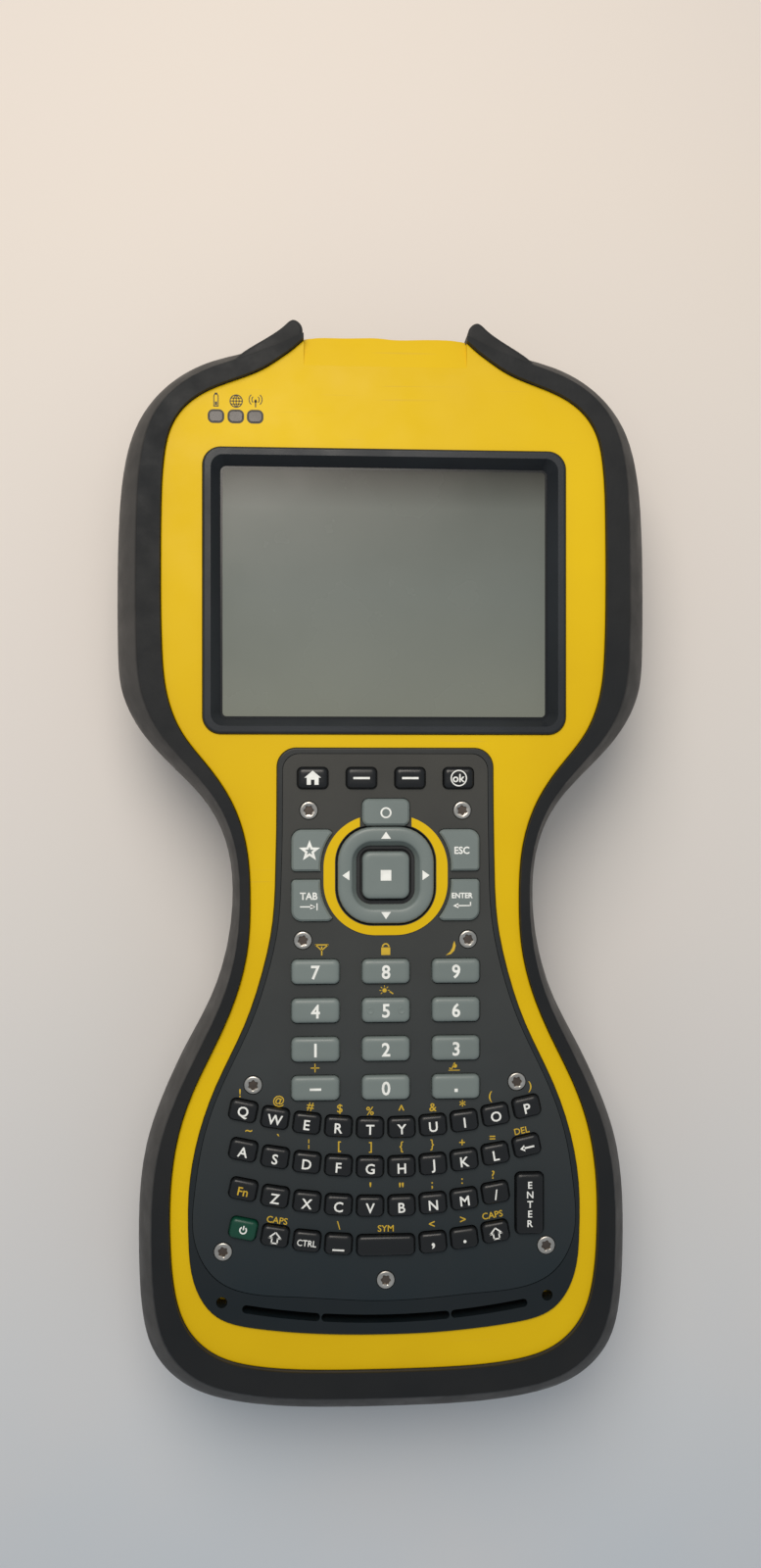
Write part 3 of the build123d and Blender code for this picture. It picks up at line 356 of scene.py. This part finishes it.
def rounded(w, h, r, z, n=7):
    """Counter-clockwise ring of a rounded rectangle."""
    r = max(min(r, w / 2 - 0.01, h / 2 - 0.01), 0.05)
    ring = []
    for cx, cy, start in ((w / 2 - r, h / 2 - r, 0), (-w / 2 + r, h / 2 - r, 90),
                          (-w / 2 + r, -h / 2 + r, 180), (w / 2 - r, -h / 2 + r, 270)):
        for i in range(n):
            a = math.radians(start + 90 * i / (n - 1))
            ring.append((cx + r * math.cos(a), cy + r * math.sin(a), z))
    return ring


def disc(r, n=24, start=0.0, sweep=360.0):
    return [(r * math.cos(math.radians(start + sweep * i / n)), r * math.sin(math.radians(start + sweep * i / n)))
            for i in range(n if sweep == 360 else n + 1)]


def bar(x0, y0, x1, y1, w):
    """A straight stroke of width w."""
    length = math.hypot(x1 - x0, y1 - y0)
    nx, ny = -(y1 - y0) / length * w / 2, (x1 - x0) / length * w / 2
    return [(x0 + nx, y0 + ny), (x0 - nx, y0 - ny), (x1 - nx, y1 - ny), (x1 + nx, y1 + ny)]


def arc_strokes(r, w, start, sweep, cx=0.0, cy=0.0, n=18):
    """An arc of short flat pieces."""
    out = []
    for i in range(n):
        a0, a1 = (math.radians(start + sweep * (i + d) / n) for d in (0, 1))
        out.append([(cx + q * math.cos(a), cy + q * math.sin(a))
                    for q, a in ((r + w / 2, a0), (r + w / 2, a1), (r - w / 2, a1), (r - w / 2, a0))])
    return out


def letters(soup, text, size, z, x=0.0, y=0.0, turn=0.0, bold=0.03, wide=1.0):
    """Printed characters, centred on (x, y); size is the height of a capital."""
    curve = bpy.data.curves.new("glyphs", "FONT")
    curve.body = text
    curve.size = size / 0.69
    curve.offset = bold
    curve.extrude = 0.01
    curve.resolution_u = 3
    made = bpy.data.objects.new("glyphs", curve)
    bpy.context.scene.collection.objects.link(made)
    bpy.context.view_layer.update()
    mesh = bpy.data.meshes.new_from_object(made.evaluated_get(bpy.context.evaluated_depsgraph_get()))
    xs, ys = [v.co.x for v in mesh.vertices], [v.co.y for v in mesh.vertices]
    cx, cy = (min(xs) + max(xs)) / 2, (min(ys) + max(ys)) / 2
    soup.add([((v.co.x - cx) * wide, v.co.y - cy, z + v.co.z) for v in mesh.vertices],
             [list(p.vertices) for p in mesh.polygons], x, y, turn)
    bpy.data.objects.remove(made)
    bpy.data.curves.remove(curve)
    bpy.data.meshes.remove(mesh)


# ---- keys ----
FLANGE_Z0, FLANGE_Z1 = 44.6, 45.1


def key_cap(soup, w, h, r, top, x, y, turn=0.0):
    """Moulded key: flange under the plate, straight sides, a softly rounded rim and a slightly crowned top."""
    steps = [(0, FLANGE_Z1), (0, top - 1.05), (0.06, top - 0.72), (0.2, top - 0.44), (0.42, top - 0.23),
             (0.72, top - 0.09), (1.1, top - 0.02), (1.55, top), (2.1, top)]
    rings = [rounded(w + 0.7, h + 0.7, r, FLANGE_Z0), rounded(w + 0.7, h + 0.7, r, FLANGE_Z1)]
    for inset, z in steps:
        rings.append(rounded(w - 2 * inset, h - 2 * inset, r - 0.55 * inset, z))
    soup.loft(rings, x, y, turn)


LETTER_PITCH, ROW_PITCH, LETTER_ARC, FIRST_ROW_Y = 8.03, 9.97, 137.0, -68.1
LETTER_W, LETTER_H, LETTER_TOP = 6.9, 5.2, 47.7


def letter_place(row, column):
    x = column * LETTER_PITCH
    drop = LETTER_ARC - math.sqrt(LETTER_ARC ** 2 - x ** 2)
    return x, FIRST_ROW_Y - row * ROW_PITCH + drop, 0.8 * math.degrees(math.asin(x / LETTER_ARC))


POWER_ICON = arc_strokes(0.82, 0.34, 125, 290) + [bar(0, 0.05, 0, 1.15, 0.34)]
SHIFT_ICON = [bar(0, 1.5, -1.55, 0, 0.36), bar(0, 1.5, 1.55, 0, 0.36), bar(-1.6, 0.05, -0.6, 0.05, 0.34),
              bar(1.6, 0.05, 0.6, 0.05, 0.34), bar(-0.72, 0.1, -0.72, -1.35, 0.34), bar(0.72, 0.1, 0.72, -1.35, 0.34),
              bar(-0.88, -1.25, 0.88, -1.25, 0.34)]
BACK_ICON = [bar(-1.1, 0, 1.8, 0, 0.45), [(-1.9, 0), (-0.7, 0.85), (-0.7, -0.85)]]
LETTER_ROWS = [list("QWERTYUIOP"), list("ASDFGHJKL") + [BACK_ICON], ["Fn"] + list("ZXCVBNM/"),
               [POWER_ICON, SHIFT_ICON, "CTRL", "_", ",", ".", SHIFT_ICON]]
ROW_COLUMNS = [[i - 4.5 for i in range(10)], [i - 4.5 for i in range(10)], [i - 4.5 for i in range(9)],
               [-4.5, -3.5, -2.5, -1.5, 1.5, 2.5, 3.5]]


def legend(soup, mark, size, z, x, y, turn=0.0, bold=0.05, wide=1.0):
    z += 0.015
    if isinstance(mark, str):
        letters(soup, mark, size, z, x, y, turn, bold, wide)
    else:
        for outline in mark:
            soup.flat(outline, z, x, y, turn)


def below(x, y, turn, d):
    return x + d * math.sin(math.radians(turn)), y - d * math.cos(math.radians(turn))


for row, (marks, columns) in enumerate(zip(LETTER_ROWS, ROW_COLUMNS)):
    caps, white, extra = Soup(), Soup(), Soup()
    body = f"letter_keys_row_{row + 1}"
    for mark, column in zip(marks, columns):
        x, y, turn = letter_place(row, column)
        lx, ly = below(x, y, turn, 0.25)
        if mark is POWER_ICON:
            green, power_white = Soup(), Soup()
            key_cap(green, LETTER_W, LETTER_H, 1.3, LETTER_TOP, x, y, turn)
            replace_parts(green.make("power_cap", "green_key", "power_key"), "power_key")
            legend(power_white, mark, 1, LETTER_TOP, x, y, turn)
            power_white.make("power_legend", "white_ink", "power_key", 0)
            continue
        key_cap(caps, LETTER_W, LETTER_H, 1.3, LETTER_TOP, x, y, turn)
        if mark == "Fn":
            legend(extra, mark, 2.1, LETTER_TOP, lx, ly, turn, 0.03)
        elif mark == "CTRL":
            legend(white, mark, 1.55, LETTER_TOP, lx, ly, turn, 0.02, 0.92)
        elif mark == "_":
            legend(white, [bar(-1.5, 0, 1.5, 0, 0.42)], 1, LETTER_TOP, *below(x, y, turn, 1.2), turn)
        elif mark in (",", "."):
            legend(white, mark, 3.6, LETTER_TOP, *below(x, y, turn, 0.6), turn, 0.08)
        else:
            legend(white, mark, 2.45, LETTER_TOP, lx, ly, turn)
    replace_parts(caps.make(f"{body}_caps", "black_key", body), body)
    white.make(f"{body}_legends", "white_ink", body, 0)
    if extra.points:
        extra.make(f"{body}_mode_legend", "yellow_ink", body, 0)

SINGLE = {"space_key": (14.8, 5.2, 1.3, 47.7, 0, FIRST_ROW_Y - 3 * ROW_PITCH, "black_key"),
          "enter_key": (7.2, 15.6, 1.3, 47.7, 36.9, -88.0, "black_key")}
for column, name in enumerate(("start_key", "left_soft_key", "right_soft_key", "ok_key")):
    SINGLE[name] = (7.7, 5.3, 1.2, 47.5, (column - 1.5) * 12.4, 20.9, "black_key")
NUMBER_ROWS = [["7", "8", "9"], ["4", "5", "6"], ["1", "2", "3"], ["minus", "0", "point"]]
for row, names in enumerate(NUMBER_ROWS):
    for column, name in enumerate(names):
        SINGLE[f"number_key_{name}"] = (12.2, 6.2, 1.4, 47.6, (column - 1) * 17.9, -28.3 - row * 9.85, "grey_key")

HOUSE = [[(-2.1, 0.1), (0, 1.9), (2.1, 0.1), (1.5, 0.1), (1.5, -1.7), (0.45, -1.7), (0.45, -0.4), (-0.45, -0.4),
          (-0.45, -1.7), (-1.5, -1.7), (-1.5, 0.1)]]
SINGLE_MARKS = {
    "start_key": [(HOUSE, 1, 0, 0)],
    "left_soft_key": [([bar(-2.1, 0, 2.1, 0, 0.55)], 1, 0, 0)],
    "right_soft_key": [([bar(-2.1, 0, 2.1, 0, 0.55)], 1, 0, 0)],
    "ok_key": [(arc_strokes(1.95, 0.3, 0, 360, n=36), 1, 0, 0), ("ok", 2.0, 0, 0)],
    "number_key_minus": [([bar(-1.45, 0, 1.45, 0, 0.6)], 1, 0, -0.1)],
    "number_key_point": [([bar(-0.42, 0, 0.42, 0, 0.84)], 1, 0, -0.75)],
}
for name, (w, h, r, top, x, y, key) in SINGLE.items():
    cap, white = Soup(), Soup()
    key_cap(cap, w, h, r, top, x, y)
    if name == "number_key_5":
        for side in (-1, 1):
            cap.loft([[(px, py, z) for px, py in disc(q)] for q, z in
                      ((0.95, top - 0.1), (0.92, top + 0.06), (0.78, top + 0.1), (0.62, top + 0.06), (0.5, top + 0.02))],
                     x + side * 3.95, y)
    if name == "enter_key":
        for i, letter in enumerate("ENTER"):
            legend(white, letter, 1.7, top, x, y + 4.9 - 2.45 * i, bold=0.04)
    elif name in SINGLE_MARKS:
        for mark, size, dx, dy in SINGLE_MARKS[name]:
            legend(white, mark, size, top, x + dx, y + dy)
    elif name.startswith("number"):
        legend(white, name[-1], 3.3, top, x, y - 0.05, bold=0.1, wide=0.95)
    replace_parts(cap.make(f"{name}_cap", key, name), name)
    if white.points:
        white.make(f"{name}_legend", "white_ink", name, 0)


# ---- navigation cluster ----
LEGEND_THICK = 0.03
Z_SELECT_LEGEND, Z_NAV_LEGEND, Z_SIDE_LEGEND = 47.37, 47.585, 47.42
NAV_LEGEND_R = 10.15
SELECT_PROFILE = [  # inset and height
    (0, 44.6), (0, 46.5), (0.08, 46.85), (0.25, 47.1), (0.55, 47.28), (1.0, 47.37), (1.6, 47.4), (3.0, 47.36)]
ring = Soup()
profile = [  # width, corner radius and height
    (24.5, 9.0, 45.5), (24.5, 9.0, 46.85), (24.3, 8.95, 47.15), (23.9, 8.8, 47.38), (23.3, 8.55, 47.52),
    (22.4, 8.2, 47.59), (20.6, 7.3, 47.6), (18.6, 6.1, 47.52), (17.7, 5.6, 47.4), (17.2, 5.3, 47.15),
    (16.9, 5.1, 46.8), (15.7, 4.3, 46.0), (15.0, 3.8, 45.5)]
rings = [rounded(w, w, r, z, 10) for w, r, z in profile]
ring.loft(rings + [rings[0]], 0, NAV_Y, top=False, bottom=False)
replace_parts(ring.make("nav_ring_shell", "grey_key", "nav_ring"), "nav_ring")
select = Soup()
select.loft([rounded(12 - 2 * i, 12 - 2 * i, 2.0 - 0.3 * i, z, 8) for i, z in SELECT_PROFILE], 0, NAV_Y)
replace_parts(select.make("select_cap", "grey_key", "select_key"), "select_key")
marks = Soup()
marks.flat([(-1.35, -1.35), (1.35, -1.35), (1.35, 1.35), (-1.35, 1.35)], Z_SELECT_LEGEND, 0, NAV_Y, thick=LEGEND_THICK)
marks.make("select_legend", "white_ink", "select_key", 0)
marks = Soup()
for turn in (0, 90, 180, 270):
    a = math.radians(turn + 90)
    marks.flat([(-1.25, -0.85), (1.25, -0.85), (0, 0.95)], Z_NAV_LEGEND,
               NAV_LEGEND_R * math.cos(a), NAV_Y + NAV_LEGEND_R * math.sin(a), turn, LEGEND_THICK)
marks.make("nav_legends", "white_ink", "nav_ring", 0)


def soften(name, key, width):
    """Rounds the edges of a carried-over key."""
    obj = NODES[name]
    paint(obj, key)
    weld = obj.modifiers.new("weld", "WELD")
    weld.merge_threshold = 0.00001
    bevel = obj.modifiers.new("bevel", "BEVEL")
    bevel.width, bevel.segments = width * MM, 3
    bevel.limit_method, bevel.angle_limit = "ANGLE", math.radians(28)
    bevel.use_clamp_overlap = True
    for polygon in obj.data.polygons:
        polygon.use_smooth = True
    normals = obj.modifiers.new("normals", "WEIGHTED_NORMAL")
    normals.keep_sharp = False


def star(r):
    """Ten points of a five-pointed star."""
    return [(q * math.cos(math.radians(90 + 36 * i)), q * math.sin(math.radians(90 + 36 * i)))
            for i, q in enumerate([r, 0.42 * r] * 5)]


OUTER, INNER = star(2.8), star(1.15)
STAR = [[OUTER[i], OUTER[(i + 1) % 10], INNER[(i + 1) % 10], INNER[i]] for i in range(10)]
TAB_ARROW = [bar(-2.2, 0, 1.2, 0, 0.3), [(1.7, 0), (0.4, 0.65), (0.4, -0.65)], bar(2.1, 0.9, 2.1, -0.9, 0.3)]
RETURN_ARROW = [bar(-1.4, 0, 2.2, 0, 0.3), bar(2.2, -0.15, 2.2, 0.95, 0.3),
                [(-2.3, 0), (-0.9, 0.65), (-0.9, -0.65)]]
SIDE = {"star_key": [(STAR, 1, -19.4, 2.4)],
        "tab_key": [("TAB", 1.75, -19.6, -9.0), (TAB_ARROW, 1, -19.6, -11.7)],
        "escape_key": [("ESC", 1.75, 19.4, 2.5)],
        "side_enter_key": [("ENTER", 1.3, 19.5, -9.0), (RETURN_ARROW, 1, 19.4, -11.6)],
        "camera_key": [(arc_strokes(1.2, 0.42, 0, 360, n=28), 1, 0, 12.1)]}
for name, items in SIDE.items():
    soften(name, "grey_key", 0.3)
    white = Soup()
    for mark, size, x, y in items:
        legend(white, mark, size, Z_SIDE_LEGEND, x, y, bold=0.06, wide=0.95)
    white.make(f"{name}_legend", "white_ink", name, 0)

# ---- printed marks on the plate and on the face, and a painted shadow ring round the screen ----
SYMBOLS = [
    ("!", -37.0, -58.9), ("@", -27.2, -61.1), ("#", -19.2, -62.6), ("$", -11.7, -63.3), ("%", -4.0, -63.9),
    ("^", 4.0, -63.2), ("&", 12.1, -63.2), ("*", 19.7, -62.3), ("(", 26.9, -60.7), (")", 37.1, -58.3),
    ("~", -34.8, -68.5), ("`", -27.4, -69.7), ("[", -11.8, -72.9), ("]", -3.9, -73.2), ("{", 4.0, -73.2),
    ("}", 11.9, -72.8), ("+", 19.6, -72.3), ("=", 27.4, -71.2), ("DEL", 35.0, -69.5),
    ("'", -3.9, -82.7), ('"', 4.0, -82.9), (";", 11.9, -83.2), (":", 19.6, -82.2), ("?", 27.6, -80.7),
    ("CAPS", -27.6, -91.3), ("\\", -12.0, -92.9), ("SYM", 0.0, -93.9), ("<", 11.8, -93.0), (">", 19.8, -92.0),
    ("CAPS", 27.4, -91.0),
]
HEIGHTS = {"~": 2.2, "`": 2.4, "'": 3.0, '"': 3.0, "DEL": 1.6, "CAPS": 1.6, "SYM": 1.6, "^": 2.4, "*": 2.6}
yellow = Soup()
for text, x, y in SYMBOLS:
    turn = 0.8 * math.degrees(math.asin(x / LETTER_ARC)) if len(text) > 1 or text in "@#" else 0
    legend(yellow, text, HEIGHTS.get(text, 2.05), Z_PLATE, x, y, turn, bold=0.03)
for outline in (bar(-19.6, -73.3, -19.6, -72.3, 0.24), bar(-19.6, -71.9, -19.6, -70.9, 0.24)):
    yellow.flat(outline, Z_PLATE)
ANTENNA = [bar(0, -1.5, 0, 0.8, 0.32), bar(-1.7, 1.2, 1.7, 1.2, 0.32), bar(-1.6, 1.2, 0, -0.2, 0.28),
           bar(1.6, 1.2, 0, -0.2, 0.28)]
PADLOCK = [[(-1.15, -1.6), (1.15, -1.6), (1.15, 0.35), (-1.15, 0.35)]]
PADLOCK += arc_strokes(0.8, 0.36, 0, 180, 0, 0.45)
MOON = [[(1.0, 1.9), (1.35, 0.7), (1.0, -0.6), (0.1, -1.5),
         (-1.2, -1.8), (-0.1, -0.9), (0.5, 0.2), (0.7, 1.1)]]
GLOW = [disc(0.55, 16)]
GLOW += [bar(0.8 * math.cos(a), 0.8 * math.sin(a), 1.3 * math.cos(a), 1.3 * math.sin(a), 0.18)
         for a in (0, 0.8, 1.6, 2.4, 3.14, 3.9)]
GLOW += [bar(1.3, -0.3, 2.2, -0.9, 0.3)]
PLUS = [bar(-1.1, 0, 1.1, 0, 0.26), bar(0, -1.1, 0, 1.1, 0.26)]
INPUT = [bar(-1.7, -1.1, 1.2, -1.1, 0.2), bar(-1.5, -0.5, -0.9, -0.8, 0.28), bar(-0.9, -0.8, -0.1, 0.9, 0.28),
         disc(0.5, 14)]
for icon, x, y in ((ANTENNA, -16.3, -22.7), (PADLOCK, 0, -22.6), (MOON, 16.6, -22.6), (GLOW, -0.3, -33.2),
                   (PLUS, -18.0, -52.8), (INPUT, 17.8, -52.7)):
    legend(yellow, icon, 1, Z_PLATE, x, y)
yellow.make("plate_symbols", "yellow_ink", "case", 0)

dark = Soup()
for x in (-43.1, -38.1, -33.2):
    outer, inner = rounded(4.2, 3.5, 1.4, Z_FACE), rounded(3.35, 2.64, 1.08, Z_FACE)
    top = [[(px, py, Z_FACE + 0.03) for px, py, _ in r] for r in (outer, inner)]
    dark.loft([outer, top[0], top[1], inner], x, 112.7, top=False, bottom=False)
BATTERY = arc_strokes(0.55, 0.22, 0, 180, 0, 1.15, 8)
BATTERY += [bar(-0.55, 1.2, -0.55, -1.3, 0.22), bar(0.55, 1.2, 0.55, -1.3, 0.22),
            bar(-0.66, -1.35, 0.66, -1.35, 0.24), bar(-0.35, 1.85, 0.35, 1.85, 0.4),
            bar(0, -1.1, 0, -0.2, 0.55)]
GLOBE = arc_strokes(1.55, 0.26, 0, 360, n=28) + [bar(-1.5, 0, 1.5, 0, 0.22), bar(0, -1.5, 0, 1.5, 0.22),
         bar(-1.25, 0.75, 1.25, 0.75, 0.2), bar(-1.25, -0.75, 1.25, -0.75, 0.2)] \
    + arc_strokes(2.0, 0.2, -45, 90, -1.25, 0, 10) + arc_strokes(2.0, 0.2, 135, 90, 1.25, 0, 10)
WAVES = [bar(0, -1.5, 0, 0.5, 0.3), disc(0.36, 14)]
for r in (0.95, 1.65):
    WAVES += arc_strokes(r, 0.22, -48, 96, 0, 0.45, 9) + arc_strokes(r, 0.22, 132, 96, 0, 0.45, 9)
for icon, x in ((BATTERY, -43.1), (GLOBE, -38.0), (WAVES, -33.1)):
    legend(dark, icon, 1, Z_FACE, x, 116.6)
dark.make("face_marks", "dark_ink", "case", 0)

# A thin black ring round the edge of the screen: painted shadow in the gap between glass and frame.
edge_shadow = Soup()
outer, inner = rounded(84.6, 64.8, 1.5, 42.7), rounded(83.3, 63.5, 1.0, 42.7)
top = [[(px, py, 42.73) for px, py, _ in r] for r in (outer, inner)]
edge_shadow.loft([outer, top[0], top[1], inner], 0, 68.5, top=False, bottom=False)
edge_shadow.make("screen_gap_shadow", "gap_shadow_black", "case", 0)


# ---- keypad screws, with six-lobed sockets ----
def lobes(r, z, n=48):
    return [(r * (1 + 0.13 * math.cos(6 * a)) * math.cos(a), r * (1 + 0.13 * math.cos(6 * a)) * math.sin(a), z)
            for a in (2 * math.pi * i / n for i in range(n))]


def circle(r, z, n=48):
    return [(px, py, z) for px, py in disc(r, n)]


heads, sockets = Soup(), Soup()
for turn, (x, y) in enumerate([(-19.6, 12.7), (19.6, 12.7), (-21.1, -20.3), (21.1, -20.3), (-33.7, -56.9),
                               (33.7, -56.9), (-41.3, -99.0), (41.3, -99.0), (0, -107.0)]):
    heads.loft([circle(r, z) for r, z in
                ((1.1, 37.8), (1.1, 45.7), (2.3, 45.7), (2.3, 46.2), (2.24, 46.36), (2.08, 46.48), (1.8, 46.55),
                 (1.5, 46.5))] + [lobes(1.2, 46.42), lobes(1.12, 46.3), lobes(1.08, 45.95)],
               x, y, 37 * turn, top=False)
    # Dark steel floors in the sockets: painted shade in the recesses.
    sockets.loft([lobes(1.1, 45.9), lobes(1.1, 46.0), lobes(0.5, 46.02)], x, y, 37 * turn)
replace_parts(heads.make("keypad_screw_heads", "steel", "case", 35), "keypad_screws")
sockets.make("keypad_screw_sockets", "socket", "case", 35)


# ---- camera, light and floor ----
def camera():
    """Above the screen, a little left of the middle, looking slightly to the right."""
    data = bpy.data.cameras.new("camera")
    data.sensor_width, data.lens = 36.0, 36.0 * 1260 / 1600
    data.clip_start, data.clip_end = 0.01, 20
    obj = bpy.data.objects.new("camera", data)
    bpy.context.scene.collection.objects.link(obj)
    obj.location = (-18.9 * MM, (19.4 + SHIFT) * MM, (Z_FACE + 315) * MM)
    obj.rotation_euler = (0, math.radians(-3.2), 0)
    bpy.context.scene.camera = obj


def lamp(name, place, target, size, power, colour):
    data = bpy.data.lights.new(name, "AREA")
    data.shape, data.size, data.energy, data.color = "DISK", size, power, colour
    obj = bpy.data.objects.new(name, data)
    bpy.context.scene.collection.objects.link(obj)
    obj.location = place
    obj.rotation_euler = (Vector(target) - Vector(place)).to_track_quat("-Z", "Y").to_euler()
    obj.visible_glossy = name == "key"


def world(strength, colour):
    made = bpy.data.worlds.new("studio")
    made.use_nodes = True
    background = made.node_tree.nodes["Background"]
    background.inputs["Color"].default_value = (*colour, 1)
    background.inputs["Strength"].default_value = strength
    bpy.context.scene.world = made


def floor():
    s = Surface("paper", 0.85)
    # Painted shade and light colour: the paper is painted bluer and darker towards the bottom end and warmer towards
    # the top.
    y = s.grey(s.height()["Y"], 0, 1, -0.25, 0.2)
    base = s.ramp(y, [(0.0, linear(200, 208, 216)), (0.5, linear(222, 217, 212)), (1.0, linear(228, 217, 206))])
    s.colour(s.mix(s.grey(s.noise(9, 3), 0, 0.3, 0.35, 0.7), base, linear(226, 216, 210)))
    s.bump(s.noise(500, 3), 0.05, 0.0001)
    mesh = bpy.data.meshes.new("floor")
    q = 3.0
    drop = -0.0003
    mesh.from_pydata([(-q, -q, drop), (q, -q, drop), (q, q, drop), (-q, q, drop)], [], [(0, 1, 2, 3)])
    obj = bpy.data.objects.new("floor", mesh)
    bpy.context.scene.collection.objects.link(obj)
    mesh.materials.append(s.mat)


camera()
floor()
world(0.42, (0.86, 0.93, 1.0))
lamp("key", (-0.10, 0.40, 0.62), (0, 0.0, 0.03), 0.45, 2.7, (1.0, 0.93, 0.84))
lamp("fill", (-0.03, 0.11, 0.44), (0, 0.05, 0.03), 0.3, 0.5, (1.0, 0.95, 0.88))
bpy.context.scene.view_settings.view_transform = "Standard"
